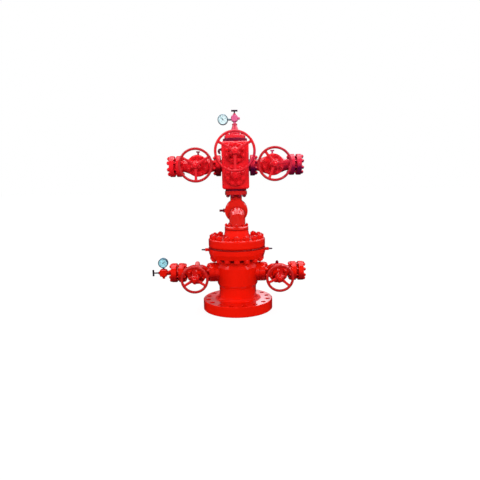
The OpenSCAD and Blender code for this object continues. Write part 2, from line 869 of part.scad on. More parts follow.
// A needle valve standing on Z with its centre at the origin: a body with cut corners seen from the
// front, the neck below, and the gland above with the stem's bore
module needle_valve(w, neck_len) {
    half = w / 2;
    difference() {
        union() {
            translate([0, needle_depth / 2, -half])
                rotate([90, 0, 0])
                    linear_extrude(height = needle_depth)
                        polygon(cut_square(half, w, needle_cut));
            translate([0, 0, -half - neck_len])
                cylinder(h = neck_len + past, d = needle_neck_d);
            cylinder(h = half + needle_gland, d = needle_neck_d);
        }
        translate([0, 0, half - needle_stem_in])
            cylinder(h = needle_gland + needle_stem_in + past, r = needle_stem_d / 2 + stem_gap);
    }
}

// A T-handle with the given length of stem in sight, in the needle valve's frame
module needle_handle(w, show) {
    bar_z = w / 2 + needle_gland + show + tbar_d / 2;
    foot_z = w / 2 - needle_stem_in + needle_stem_off;
    color(DARK) {
        translate([0, 0, foot_z])
            cylinder(h = bar_z - foot_z, d = needle_stem_d);
        translate([-tbar_len / 2, 0, bar_z])
            rotate([0, 90, 0])
                cylinder(h = tbar_len, d = tbar_d);
    }
}

// A gauge whose dial faces Z, with its centre at the origin
module gauge_case(od) {
    color(TEAL)
    difference() {
        bevelled_disc(od / 2, gauge_depth);
        translate([0, 0, gauge_depth - dial_drop])
            cylinder(h = dial_drop + past, d = od - 2 * bezel_w);
    }
}

module top_gauge() {
    gauge_z = top_needle_z - gauge_sink;
    facing_front(-(top_needle_w / 2 + gauge_off + top_gauge_od / 2), tree_back + gauge_depth / 2, gauge_z)
        gauge_case(top_gauge_od);
    color(TEAL)
    outwards(LEFT, top_needle_w / 2, tree_back, gauge_z)
        cylinder(h = gauge_off + bezel_w / 2, d = gauge_stem_d);
}

module top_needle_valve() {
    color(PINK)
    translate([0, tree_back, top_needle_z])
        needle_valve(top_needle_w, needle_neck);
    color(PINK)
    outwards(RIGHT, top_needle_w / 2 - past, tree_back, top_needle_z)
        cylinder(h = plug_len + past, d = plug_d, $fn = 6);
}

module top_needle_handle() {
    translate([0, tree_back, top_needle_z])
        needle_handle(top_needle_w, needle_stem_show);
}

module side_nipple() {
    color(RED)
    outwards(LEFT, side_nipple_x, 0, outlet_z)
        cylinder(h = side_nipple_len, d = side_nipple_d);
}

module side_needle_valve() {
    color(RED)
    outwards(LEFT, side_needle_x, 0, outlet_z)
        needle_valve(side_needle_w, 0);
    color(RED)
    translate([-side_needle_x, 0, outlet_z - side_needle_w / 2 - plug_len])
        cylinder(h = plug_len + past, d = plug_d, $fn = 6);
}

module side_needle_handle() {
    outwards(LEFT, side_needle_x, 0, outlet_z)
        needle_handle(side_needle_w, side_stem_show);
}

module side_gauge() {
    facing_front(-side_needle_x, gauge_depth / 2, outlet_z + side_needle_w / 2 + side_gauge_off + side_gauge_od / 2)
        gauge_case(side_gauge_od);
    color(TEAL)
    translate([-side_needle_x, 0, outlet_z + side_needle_w / 2])
        cylinder(h = side_gauge_off + bezel_w / 2, d = gauge_stem_d);
}

base_flange();
tubing_head_spool();
head_flange();
lockdown_screws();
head_adapter();
elbow();
check_body();
check_spindle();
valve_block();
upper_bonnet();
lower_bonnet();
centre_handwheel();
bleed_fitting();
upper_valve(LEFT);  // upper_left_valve
upper_valve(RIGHT);  // upper_right_valve
lower_valve(LEFT);  // lower_left_valve
lower_valve(RIGHT);  // lower_right_valve
facing_front(-up_centre, tree_back, arm_z)  // upper_left_bonnet
        bonnet(bonnet_seat, up_bonnet_od, bonnet_t, bonnet_neck_od, up_wheel_out);
facing_front(up_centre, tree_back, arm_z)  // upper_right_bonnet
        bonnet(bonnet_seat, up_bonnet_od, bonnet_t, bonnet_neck_od, up_wheel_out);
facing_front(-low_centre, 0, outlet_z)  // lower_left_bonnet
        bonnet(bonnet_seat, low_bonnet_od, bonnet_t, bonnet_neck_od, low_wheel_out);
facing_front(low_centre, 0, outlet_z)  // lower_right_bonnet
        bonnet(bonnet_seat, low_bonnet_od, bonnet_t, bonnet_neck_od, low_wheel_out);
facing_front(-up_centre, tree_back, arm_z)  // upper_left_handwheel
        handwheel(up_wheel_r, up_wheel_out, up_left_turn);
facing_front(up_centre, tree_back, arm_z)  // upper_right_handwheel
        handwheel(up_wheel_r, up_wheel_out, up_right_turn);
facing_front(-low_centre, 0, outlet_z)  // lower_left_handwheel
        handwheel(low_wheel_r, low_wheel_out, low_left_turn);
facing_front(low_centre, 0, outlet_z)  // lower_right_handwheel
        handwheel(low_wheel_r, low_wheel_out, low_right_turn);
outwards(LEFT, up_end, tree_back, arm_z)  // upper_left_end_flange
        companion_flange(up_flange_od, up_flange_t, up_bore_d);
outwards(RIGHT, up_end, tree_back, arm_z)  // upper_right_end_flange
        companion_flange(up_flange_od, up_flange_t, up_bore_d);
outwards(LEFT, low_end, 0, outlet_z)  // lower_left_end_flange
        blind_flange(low_flange_od, low_flange_t);
outwards(RIGHT, low_end, 0, outlet_z)  // lower_right_end_flange
        companion_flange(low_flange_od, low_flange_t, outlet_bore_d);
translate([-up_centre, tree_back - boss_out, arm_z + up_body_od / 2 + boss_h])  // upper_left_vent
        vent_fitting();
translate([up_centre, tree_back - boss_out, arm_z + up_body_od / 2 + boss_h])  // upper_right_vent
        vent_fitting();
translate([-low_centre, -boss_out, outlet_z + low_body_od / 2 + boss_h])  // lower_left_knob
        relief_knob();
translate([low_centre, -boss_out, outlet_z + low_body_od / 2 + boss_h])  // lower_right_plug
        hex_plug();
cap_flange();
cap_nipple();
top_needle_valve();
top_needle_handle();
top_gauge();
side_nipple();
side_needle_valve();
side_needle_handle();
side_gauge();
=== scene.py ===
"""Looks of a water injection wellhead with its valve tree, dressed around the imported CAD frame.

Lengths are metres, Z is up, the well axis is on Z and the handwheels face -Y.
"""

from __future__ import annotations

import logging
import math
from dataclasses import dataclass, field
from enum import Enum
from functools import lru_cache

import bmesh
import bpy
from mathutils import Matrix, Vector

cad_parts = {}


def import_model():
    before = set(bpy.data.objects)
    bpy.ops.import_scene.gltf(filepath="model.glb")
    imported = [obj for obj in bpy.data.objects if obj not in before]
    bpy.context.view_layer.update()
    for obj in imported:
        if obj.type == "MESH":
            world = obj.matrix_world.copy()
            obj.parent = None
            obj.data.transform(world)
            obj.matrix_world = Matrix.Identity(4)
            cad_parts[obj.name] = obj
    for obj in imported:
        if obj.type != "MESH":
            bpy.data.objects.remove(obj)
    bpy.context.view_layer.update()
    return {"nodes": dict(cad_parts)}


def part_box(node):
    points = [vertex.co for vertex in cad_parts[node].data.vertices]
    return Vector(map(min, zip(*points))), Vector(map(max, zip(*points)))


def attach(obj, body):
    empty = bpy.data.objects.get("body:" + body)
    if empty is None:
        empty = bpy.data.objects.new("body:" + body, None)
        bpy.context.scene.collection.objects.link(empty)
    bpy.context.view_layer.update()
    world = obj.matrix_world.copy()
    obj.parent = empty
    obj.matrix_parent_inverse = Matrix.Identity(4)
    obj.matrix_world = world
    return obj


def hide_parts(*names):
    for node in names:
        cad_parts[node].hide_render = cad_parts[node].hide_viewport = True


LOG = logging.getLogger("wellhead")
FLOAT = "NodeSocketFloat"
VECTOR = "NodeSocketVector"
WHITE = (1.0, 1.0, 1.0)
NUT_FLAT = 1.62  # Width of a nut across its flats, for each length of its stud's diameter.
Point = tuple[float, float, float]
Colour = tuple[float, float, float]
Band = tuple[float, float, float, float]
Rise = tuple[float, float]
Profile = list[tuple[float, float]]
Ring = list[bmesh.types.BMVert]

# Bands where shade is painted into the colour: where each starts, is full, is full to, and ends.
VALVE_ROOTS: Band = (0.094, 0.104, 0.160, 0.180)
UPPER_ARMS: Band = (1.00, 1.04, 1.20, 1.24)
BLOCK_FOOT: Band = (0.84, 0.87, 0.90, 0.93)
SPOOL_OUTLETS: Band = (0.12, 0.14, 0.32, 0.34)
SPOOL_SIDES: Rise = (0.135, 0.145)


@lru_cache(maxsize=None)
def box(node: str) -> tuple[Vector, Vector]:
    """Gives the low and the high corner of a CAD node's box, measured once."""
    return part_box(node)


def middle(node: str) -> Point:
    """Gives the middle of a node's box."""
    return tuple((a + b) / 2 for a, b in zip(*box(node)))


def lengths(node: str) -> Point:
    """Gives the lengths of a node's box along X, Y and Z."""
    return tuple(b - a for a, b in zip(*box(node)))


def lift(height: float) -> Matrix:
    """Gives the move along a shape's own Z axis."""
    return Matrix.Translation((0, 0, height))


def spin(angle: float, axis: str = "Z") -> Matrix:
    """Gives the turn about one of a shape's own axes."""
    return Matrix.Rotation(angle, 4, axis)


def ease(t: float) -> float:
    """Gives a smooth rise from 0 to 1 as t goes from 0 to 1."""
    return 3 * t * t - 2 * t * t * t


def raised(base: float, *points: tuple[float, float]) -> Profile:
    """Gives profile points whose heights count from a base."""
    return [(radius, base + height) for radius, height in points]


def thread(crest: float, root: float, start: float, end: float, pitch: float) -> Profile:
    """Gives the profile of a thread.

    Args:
        crest: Radius of the crests.
        root: Radius of the grooves.
        start: Height of the first crest.
        end: Height that no crest passes.
        pitch: Height of one turn.

    Returns:
        The points for Forge.lathe.
    """
    points: Profile = []
    level = start
    while level < end:
        points += [(crest, level), (root, level + pitch / 2)]
        level += pitch
    return points


def disc(radius: float, low: float, high: float, bevel: float = 0.003) -> Profile:
    """Gives the profile of a closed disc with bevelled rims.

    Args:
        radius: Radius of the disc.
        low: Height of its underside.
        high: Height of its top.
        bevel: Width of the bevels.

    Returns:
        The points for Forge.lathe.
    """
    foot = raised(low, (0, 0), (radius - bevel, 0), (radius, bevel))
    return foot + raised(high, (radius, -bevel), (radius - bevel, 0), (0, 0))


def new_object(name: str, data: bpy.types.ID) -> bpy.types.Object:
    """Makes an object and links it to the scene.

    Args:
        name: Name of the object.
        data: Its mesh, curve, lamp or camera.

    Returns:
        The new object.
    """
    made = bpy.data.objects.new(name, data)
    bpy.context.scene.collection.objects.link(made)
    return made


class Side(Enum):
    """Side of the wellhead, as the sign of X."""

    LEFT = -1
    RIGHT = 1

    @property
    def word(self) -> str:
        """The word that piece names use for the side."""
        return self.name.lower()


class Way(Enum):
    """Direction that a turned piece's own Z axis points in."""

    UP = (0.0, 0.0, 1.0)
    DOWN = (0.0, 0.0, -1.0)
    LEFT = (-1.0, 0.0, 0.0)
    RIGHT = (1.0, 0.0, 0.0)
    FRONT = (0.0, -1.0, 0.0)

    def frame(self, at: Point) -> Matrix:
        """Gives the matrix that stands a piece on its own Z axis at a point.

        Args:
            at: Place of the piece's own origin.

        Returns:
            The matrix from the piece's own frame to the wellhead's.
        """
        z = Vector(self.value)
        x = Vector((1, 0, 0)) if abs(z.x) < 0.5 else Vector((0, 0, 1))
        turn = Matrix((x, z.cross(x), z)).transposed().to_4x4()
        return Matrix.Translation(at) @ turn

    def foot(self, node: str) -> Point:
        """Gives the middle of the face of a node's box that this way leads away from.

        Args:
            node: Name of the node.

        Returns:
            The place that a piece instead of the node stands on.
        """
        corners = zip(*box(node), self.value)
        return tuple(a if way > 0 else b if way < 0 else (a + b) / 2 for a, b, way in corners)

    def stand(self, node: str) -> Matrix:
        """Gives the frame of a piece that stands in a node's place."""
        return self.frame(self.foot(node))


@dataclass
class Forge:
    """Collects plain shapes into one mesh and hands it over as a piece."""

    name: str
    mesh: bmesh.types.BMesh = field(default_factory=bmesh.new)

    def ring(self, radius: float, z: float, sides: int, place: Matrix) -> Ring:
        """Adds one ring of points, or a single point where the radius is 0.

        Args:
            radius: Radius of the ring.
            z: Its height.
            sides: Number of points on it.
            place: Matrix from the shape's frame to the piece's.

        Returns:
            The new points.
        """
        if radius <= 0.0:
            return [self.mesh.verts.new(place @ Vector((0, 0, z)))]
        angles = [2 * math.pi * i / sides for i in range(sides)]
        spots = [Vector((radius * math.cos(a), radius * math.sin(a), z)) for a in angles]
        return [self.mesh.verts.new(place @ spot) for spot in spots]

    def skin(self, rings: list[Ring], sides: int, material: int = 0) -> None:
        """Joins neighbouring rings with faces.

        Args:
            rings: Rings of points; a ring of one point closes an end.
            sides: Number of points on a full ring.
            material: Index of the material slot.
        """
        for low, high in zip(rings, rings[1:]):
            for i in range(sides):
                j = (i + 1) % sides
                corners = [low[i % len(low)], low[j % len(low)]]
                corners += [high[j % len(high)], high[i % len(high)]]
                unique = list(dict.fromkeys(corners))
                if len(unique) >= 3:
                    self.mesh.faces.new(unique).material_index = material

    def loft(self, rings: list[Ring]) -> None:
        """Skins rings of equal count and closes both ends with flat faces.

        Args:
            rings: Rings of points, from one end to the other.
        """
        self.mesh.faces.new(rings[0][::-1])
        self.mesh.faces.new(rings[-1])
        self.skin(rings, len(rings[0]))

    def lathe(self, profile: Profile, place: Matrix, sides: int = 32, material: int = 0) -> None:
        """Turns a profile of (radius, height) points about Z.

        Args:
            profile: Points from the foot to the top; a radius of 0 closes an end.
            place: Matrix from the shape's frame to the piece's.
            sides: Number of flat strips around the axis.
            material: Index of the material slot.
        """
        self.skin([self.ring(r, z, sides, place) for r, z in profile], sides, material)

    def nut(self, flat: float, height: float, place: Matrix, material: int = 0) -> None:
        """Adds a closed hexagon nut with rounded-off corners.

        Args:
            flat: Width across the flats.
            height: Height of the nut.
            place: Matrix from the nut's frame to the piece's.
            material: Index of the material slot.
        """
        sides = 24
        sixth = math.pi / 3
        inner = flat / 2
        corner = inner / math.cos(sixth / 2)
        rim = inner * 1.02
        rings = []
        for limit, share in ((rim, 0.0), (corner, 0.12), (corner, 0.88), (rim, 1.0)):
            ring = []
            for i in range(sides):
                a = 2 * math.pi * i / sides
                fold = (a + sixth / 2) % sixth - sixth / 2
                radius = min(inner / math.cos(fold), limit)
                spot = Vector((radius * math.cos(a), radius * math.sin(a), height * share))
                ring.append(self.mesh.verts.new(place @ spot))
            rings.append(ring)
        rings.insert(0, self.ring(0.0, 0.0, sides, place))
        rings.append(self.ring(0.0, height, sides, place))
        self.skin(rings, sides, material)

    def box(self, size: Point, centre: Point, bevel: float) -> None:
        """Adds a block with chamfered edges along Y.

        Args:
            size: Lengths along X, Y and Z.
            centre: Centre of the block.
            bevel: Width of the chamfers.
        """
        x, y, z = (length / 2 for length in size)
        outline = [(x, z - bevel), (x - bevel, z), (bevel - x, z), (-x, z - bevel),
                   (-x, bevel - z), (bevel - x, -z), (x - bevel, -z), (x, bevel - z)]
        inset = y - bevel * 0.6
        levels = ((-y, 0.90), (-inset, 1.0), (inset, 1.0), (y, 0.90))
        self.loft([
            [self.mesh.verts.new(Vector(centre) + Vector((a * k, side, b * k))) for a, b in outline]
            for side, k in levels
        ])

    def slab(self, outline: list[Vector], thick: float) -> None:
        """Adds a plate with the given front outline, thick towards the back.

        Args:
            outline: Corners of the front.
            thick: Thickness of the plate.
        """
        self.loft([
            [self.mesh.verts.new(spot + Vector((0, back, 0))) for spot in outline]
            for back in (0.0, thick)
        ])

    def tube(self, path: list[Vector], radii: list[float], sides: int, squash: float,
             flat_way: Vector, closed: bool = False) -> None:
        """Sweeps a round or oval section along a path.

        Args:
            path: Points of the centre line.
            radii: Half-width of the section at each point.
            sides: Number of points on the section.
            squash: Thickness of the section along flat_way, as a share of its width.
            flat_way: Direction that the section is thin in.
            closed: True joins the last point to the first.
        """
        count = len(path)
        rings = []
        for k, (centre, radius) in enumerate(zip(path, radii)):
            before = path[(k - 1) % count] if closed or k > 0 else centre
            after = path[(k + 1) % count] if closed or k < count - 1 else centre
            ahead = (after - before).normalized()
            side = ahead.cross(flat_way.normalized()).normalized()
            up = side.cross(ahead).normalized()
            ring = []
            for i in range(sides):
                a = 2 * math.pi * i / sides
                offset = side * math.cos(a) * radius + up * math.sin(a) * radius * squash
                ring.append(self.mesh.verts.new(centre + offset))
            rings.append(ring)
        if closed:
            rings.append(rings[0])
        else:
            rings.insert(0, [self.mesh.verts.new(path[0])])
            rings.append([self.mesh.verts.new(path[-1])])
        self.skin(rings, sides)

    def cast(self, voxel: float, rounds: int) -> None:
        """Fuses everything so far into one skin with the soft fillets of a casting.

        Args:
            voxel: Size of the grid that the skin is drawn on.
            rounds: Rounds of smoothing, which widen the fillets.
        """
        bmesh.ops.recalc_face_normals(self.mesh, faces=self.mesh.faces)
        rough = bpy.data.meshes.new(self.name + "_rough")
        self.mesh.to_mesh(rough)
        self.mesh.free()
        pattern = new_object(self.name + "_pattern", rough)
        skin = pattern.modifiers.new("skin", "REMESH")
        skin.mode = "VOXEL"
        skin.voxel_size = voxel
        soften = pattern.modifiers.new("soften", "SMOOTH")
        soften.factor = 0.5
        soften.iterations = rounds
        graph = bpy.context.evaluated_depsgraph_get()
        done = bpy.data.meshes.new_from_object(pattern.evaluated_get(graph))
        self.mesh = bmesh.new()
        self.mesh.from_mesh(done)
        bpy.data.objects.remove(pattern)
        bpy.data.meshes.remove(rough)
        bpy.data.meshes.remove(done)

    def finish(self, materials: list[bpy.types.Material], crease: float) -> bpy.types.Object:
        """Makes the object, with edges sharper than the crease angle left sharp.

        Args:
            materials: Materials in the order of their slots.
            crease: Angle in degrees above which an edge stays sharp.

        Returns:
            The new object.
        """
        bmesh.ops.recalc_face_normals(self.mesh, faces=self.mesh.faces)
        limit = math.radians(crease)
        for face in self.mesh.faces:
            face.smooth = True
        for edge in self.mesh.edges:
            if len(edge.link_faces) == 2 and edge.calc_face_angle(0.0) > limit:
                edge.smooth = False
        data = bpy.data.meshes.new(self.name)
        self.mesh.to_mesh(data)
        self.mesh.free()
        for material in materials:
            data.materials.append(material)
        return new_object(self.name, data)


@dataclass
class Nodes:
    """A node tree under construction, with short calls to add and join nodes."""

    tree: bpy.types.NodeTree

    def add(self, kind: str, **settings: object) -> bpy.types.Node:
        """Adds a node and sets its properties.

        Args:
            kind: Blender's name of the node type, without the ShaderNode prefix.
            settings: Properties of the node.

        Returns:
            The new node.
        """
        node = self.tree.nodes.new("ShaderNode" + kind)
        for key, value in settings.items():
            setattr(node, key, value)
        return node

    def put(self, value: object, socket: bpy.types.NodeSocket) -> None:
        """Links a socket to an input, or sets the input to a number or colour.

        Args:
            value: A socket, a number or a colour.
            socket: The input.
        """
        if isinstance(value, bpy.types.NodeSocket):
            self.tree.links.new(value, socket)
        else:
            socket.default_value = (*value, 1.0) if isinstance(value, tuple) else value

    def feed(self, node: bpy.types.Node, **values: object) -> bpy.types.Node:
        """Puts values into a node's inputs by name, with underscores for spaces.

        Args:
            node: The node to feed.
            values: Sockets, numbers or colours by input name.

        Returns:
            The same node.
        """
        for key, value in values.items():
            self.put(value, node.inputs[key.replace("_", " ")])
        return node

    def group(self, tree: bpy.types.NodeTree, **values: float) -> bpy.types.bpy_prop_collection:
        """Adds a shared group, feeds its inputs and gives its outputs."""
        return self.feed(self.add("Group", node_tree=tree), **values).outputs

    def maths(self, operation: str, first: object, second: object = 0.0) -> bpy.types.NodeSocket:
        """Adds a Math node and gives its result.

        Args:
            operation: Blender's name of the operation.
            first: First value.
            second: Second value.

        Returns:
            The result.
        """
        node = self.add("Math", operation=operation)
        self.put(first, node.inputs[0])
        self.put(second, node.inputs[1])
        return node.outputs[0]

    def fold(self, operation: str, first: object, *others: object) -> bpy.types.NodeSocket:
        """Takes values together, one after another, by one operation.

        Args:
            operation: Blender's name of the operation.
            first: First value.
            others: The values that follow.

        Returns:
            The result.
        """
        for other in others:
            first = self.maths(operation, first, other)
        return first

    def times(self, *values: object) -> bpy.types.NodeSocket:
        """Multiplies values."""
        return self.fold("MULTIPLY", *values)

    def plus(self, *values: object) -> bpy.types.NodeSocket:
        """Adds values."""
        return self.fold("ADD", *values)

    def here(self, kind: str = "Object") -> bpy.types.NodeSocket:
        """Gives the shaded place in the named coordinates."""
        return self.add("TexCoord").outputs[kind]

    def axes(self, vector: bpy.types.NodeSocket) -> bpy.types.bpy_prop_collection:
        """Splits a vector and gives its X, Y and Z."""
        return self.feed(self.add("SeparateXYZ"), Vector=vector).outputs

    def noise(self, scale: object, detail: float = 3.0,
              roughness: float = 0.55) -> bpy.types.NodeSocket:
        """Adds a noise over the object's own coordinates and gives its value.

        Args:
            scale: Scale of the noise.
            detail: Its detail.
            roughness: Its roughness.

        Returns:
            A value around 0.5.
        """
        node = self.add("TexNoise")
        self.feed(node, Vector=self.here(), Scale=scale, Detail=detail, Roughness=roughness)
        return node.outputs["Fac"]

    def ramp(self, value: object, low: float, high: float) -> bpy.types.NodeSocket:
        """Maps a value from low..high to 0..1 with smooth ends."""
        node = self.add("MapRange", interpolation_type="SMOOTHSTEP")
        return self.feed(node, Value=value, From_Min=low, From_Max=high).outputs["Result"]

    def band(self, value: object, band: Band) -> bpy.types.NodeSocket:
        """Gives a mask that is 1 inside a band and falls to 0 outside it."""
        start, full, full_to, end = band
        return self.times(self.ramp(value, start, full), self.ramp(value, end, full_to))

    def blend(self, mask: object, first: object, second: object) -> bpy.types.NodeSocket:
        """Mixes two colours by a mask and gives the result.

        Args:
            mask: Share of the second, from 0 to 1.
            first: First colour.
            second: Second colour.

        Returns:
            The mixed colour.
        """
        node = self.add("Mix", data_type="RGBA")
        for index, value in ((0, mask), (6, first), (7, second)):
            self.put(value, node.inputs[index])
        return node.outputs[2]

    def bump(self, height: object, normal: object, distance: float,
             strength: float) -> bpy.types.NodeSocket:
        """Adds a bump over a normal and gives the new normal."""
        node = self.feed(self.add("Bump"), Height=height, Normal=normal)
        return self.feed(node, Distance=distance, Strength=strength).outputs["Normal"]

    def mix_shaders(self, mask: object, first: bpy.types.Node,
                    second: bpy.types.Node) -> bpy.types.Node:
        """Mixes two shader nodes by a mask and gives the mixing node.

        Args:
            mask: Share of the second, from 0 to 1.
            first: First shader.
            second: Second shader.

        Returns:
            The mixing node.
        """
        node = self.feed(self.add("MixShader"), Fac=mask)
        self.put(first.outputs[0], node.inputs[1])
        self.put(second.outputs[0], node.inputs[2])
        return node


def fresh_nodes(owner: bpy.types.Material | bpy.types.World) -> Nodes:
    """Gives the emptied node tree of a material or a world.

    Args:
        owner: The material or world.

    Returns:
        A helper for its nodes.
    """
    owner.use_nodes = True
    owner.node_tree.nodes.clear()
    return Nodes(owner.node_tree)


def new_group(
    name: str, inputs: dict[str, float], outputs: dict[str, str]
) -> tuple[Nodes, bpy.types.bpy_prop_collection, bpy.types.Node]:
    """Starts a shader node group with named sockets.

    Args:
        name: Name of the group.
        inputs: Float inputs and their usual values.
        outputs: Outputs and their socket types.

    Returns:
        A helper for the group's nodes, its inputs by name, and the node to feed its outputs to.
    """
    tree = bpy.data.node_groups.new(name, "ShaderNodeTree")
    for key, value in inputs.items():
        tree.interface.new_socket(key, in_out="INPUT", socket_type=FLOAT).default_value = value
    for key, kind in outputs.items():
        tree.interface.new_socket(key, in_out="OUTPUT", socket_type=kind)
    return Nodes(tree), tree.nodes.new("NodeGroupInput").outputs, tree.nodes.new("NodeGroupOutput")


def edge_wear_group() -> bpy.types.NodeTree:
    """Builds the group that finds outer edges and breaks them up into worn spots.

    Returns:
        A group with a Mask output and a Normal output that rounds the edges.
    """
    inputs = {"Radius": 0.003, "Amount": 0.5, "Breakup": 60.0}
    n, given, result = new_group("edge_wear", inputs, {"Mask": FLOAT, "Normal": VECTOR})
    rounded = n.feed(n.add("Bevel", samples=6), Radius=given["Radius"]).outputs["Normal"]
    dot = n.add("VectorMath", operation="DOT_PRODUCT")
    n.put(rounded, dot.inputs[0])
    n.put(n.add("NewGeometry").outputs["Normal"], dot.inputs[1])
    turned = n.ramp(dot.outputs["Value"], 0.995, 0.80)
    broken = n.ramp(n.noise(given["Breakup"], 5.0, 0.65), 0.50, 0.66)
    n.feed(result, Mask=n.times(turned, broken, given["Amount"]), Normal=rounded)
    return n.tree


def painted_corner_shade_group() -> bpy.types.NodeTree:
    """Builds the group that paints shade into corners and joints, found by ambient occlusion.

    Returns:
        A group with a Mask output of where shade is painted.
    """
    n, given, result = new_group("painted_corner_shade", {"Reach": 0.03, "Amount": 0.6}, {"Mask": FLOAT})
    # Painted shade: the more shut in a place is, the more shade is painted on it, broken up by
    # noise.
    hollow = n.feed(n.add("AmbientOcclusion", samples=6), Distance=given["Reach"])
    shut = n.ramp(hollow.outputs["AO"], 0.85, 0.25)
    patch = n.plus(n.times(n.ramp(n.noise(22.0, 4.0), 0.25, 0.75), 0.5), 0.5)
    n.feed(result, Mask=n.times(shut, patch, given["Amount"]))
    return n.tree


def cast_skin_group() -> bpy.types.NodeTree:
    """Builds the group that gives castings their grain under paint.

    Returns:
        A group with a Height output for a bump and a Tone output for slow colour drift.
    """
    inputs = {"Grain": 0.5, "Peel": 0.3}
    n, given, result = new_group("cast_skin", inputs, {"Height": FLOAT, "Tone": FLOAT})
    grain = n.times(n.noise(320.0, 4.0, 0.6), given["Grain"])
    peel = n.times(n.noise(90.0, 1.0), given["Peel"])
    lumps = n.times(n.noise(14.0, 2.0), 0.8)
    n.feed(result, Height=n.plus(grain, peel, lumps), Tone=n.noise(5.0))
    return n.tree


def fade_group() -> bpy.types.NodeTree:
    """Builds the group that tells how far up the tree, and along its right arm, a place is.

    Returns:
        A group with the masks Upper, Crown, Flank, Under, Right and Level, the place's Height
        and its Reach from the main axis. Upper, Crown and Flank place painted tints of the light,
        Flank also painted shade beside the block, and Under painted shade on undersides.
    """
    outputs = ("Upper", "Crown", "Flank", "Under", "Right", "Level", "Height", "Reach")
    inputs = {"Low": 0.70, "High": 1.16, "Top": 1.33, "Side": 0.24}
    n, given, result = new_group("fade", inputs, dict.fromkeys(outputs, FLOAT))
    at = n.axes(n.here())
    height = n.plus(at["Z"], n.times(n.noise(9.0), 0.06))
    rise = n.maths("SUBTRACT", height, given["Low"])
    span = n.maths("SUBTRACT", given["High"], given["Low"])
    # Upper and Crown place the painted tints of the light up the tree.
    upper = n.ramp(n.maths("DIVIDE", rise, span), 0.0, 1.0)
    crown = n.ramp(n.maths("SUBTRACT", height, given["Top"]), 0.0, 0.12)
    right = n.ramp(at["X"], 0.0, 0.05)
    # Painted tint of the light along the right arm, higher up.
    flank = n.times(n.ramp(n.maths("SUBTRACT", at["X"], given["Side"]), 0.0, 0.28), upper)
    across = n.maths("ABSOLUTE", at["X"])
    # Painted shade beside the block, at the inner ends of the upper valves.
    near = n.times(n.band(across, VALVE_ROOTS), n.band(at["Z"], UPPER_ARMS))
    # Painted shade beside the spool's outlets and under the block's foot.
    outlets = n.times(n.band(at["Z"], SPOOL_OUTLETS), n.ramp(across, *SPOOL_SIDES))
    below = n.maths("MAXIMUM", n.times(n.band(at["Z"], BLOCK_FOOT), 0.8), n.times(outlets, 0.6))
    # Painted shade on faces that point down goes wherever one of these masks is.
    shaded = n.fold("MAXIMUM", flank, near, below)
    slope = n.axes(n.add("NewGeometry").outputs["Normal"])["Z"]
    squares = [n.times(at[key], at[key]) for key in ("X", "Y")]
    n.feed(result, Upper=upper, Crown=crown, Right=right, Height=at["Z"],
           Flank=n.maths("MAXIMUM", flank, n.times(near, right, 0.8)),
           Under=n.times(shaded, n.ramp(slope, 0.15, -0.40)),
           Level=n.ramp(n.maths("ABSOLUTE", slope), 0.75, 0.95),
           Reach=n.maths("SQRT", n.plus(*squares)))
    return n.tree


@dataclass
class PaintShop:
    """Holds the shared node groups and makes one material for each paint."""

    wear: bpy.types.NodeTree = field(default_factory=edge_wear_group)
    painted_corner_shade: bpy.types.NodeTree = field(default_factory=painted_corner_shade_group)
    skin: bpy.types.NodeTree = field(default_factory=cast_skin_group)
    fade: bpy.types.NodeTree = field(default_factory=fade_group)
    made: dict[Paint, bpy.types.Material] = field(default_factory=dict)

    def get(self, paint: Paint) -> bpy.types.Material:
        """Gives a paint's material, made on its first use.

        Args:
            paint: The paint.

        Returns:
            The material.
        """
        if paint not in self.made:
            self.made[paint] = paint.value.make(self)
        return self.made[paint]

    def hang(self, forge: Forge, paints: tuple[Paint, ...], body: str = "wellhead",
             crease: float = 35.0) -> bpy.types.Object:
        """Finishes a forged piece in its paints and lets it ride on a body.

        Args:
            forge: The piece.
            paints: Its paints, in the order of its material indices.
            body: The body it rides on.
            crease: Angle in degrees above which an edge stays sharp.

        Returns:
            The new object.
        """
        piece = forge.finish([self.get(paint) for paint in paints], crease)
        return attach(piece, body)


@dataclass(frozen=True)
class Finish:
    """A finish with a name; each kind makes its own material."""

    name: str

    def start(self) -> tuple[bpy.types.Material, Nodes, bpy.types.Node]:
        """Makes an empty material with its shader and output.

        Returns:
            The material, a helper for its nodes and the Principled BSDF.
        """
        material = bpy.data.materials.new(self.name)
        n = fresh_nodes(material)
        shader = n.add("BsdfPrincipled")
        n.feed(n.add("OutputMaterial"), Surface=shader.outputs["BSDF"])
        return material, n, shader

    def make(self, shop: PaintShop) -> bpy.types.Material:
        """Makes the material.

        Args:
            shop: The shared node groups.

        Returns:
            The material.
        """
        raise NotImplementedError


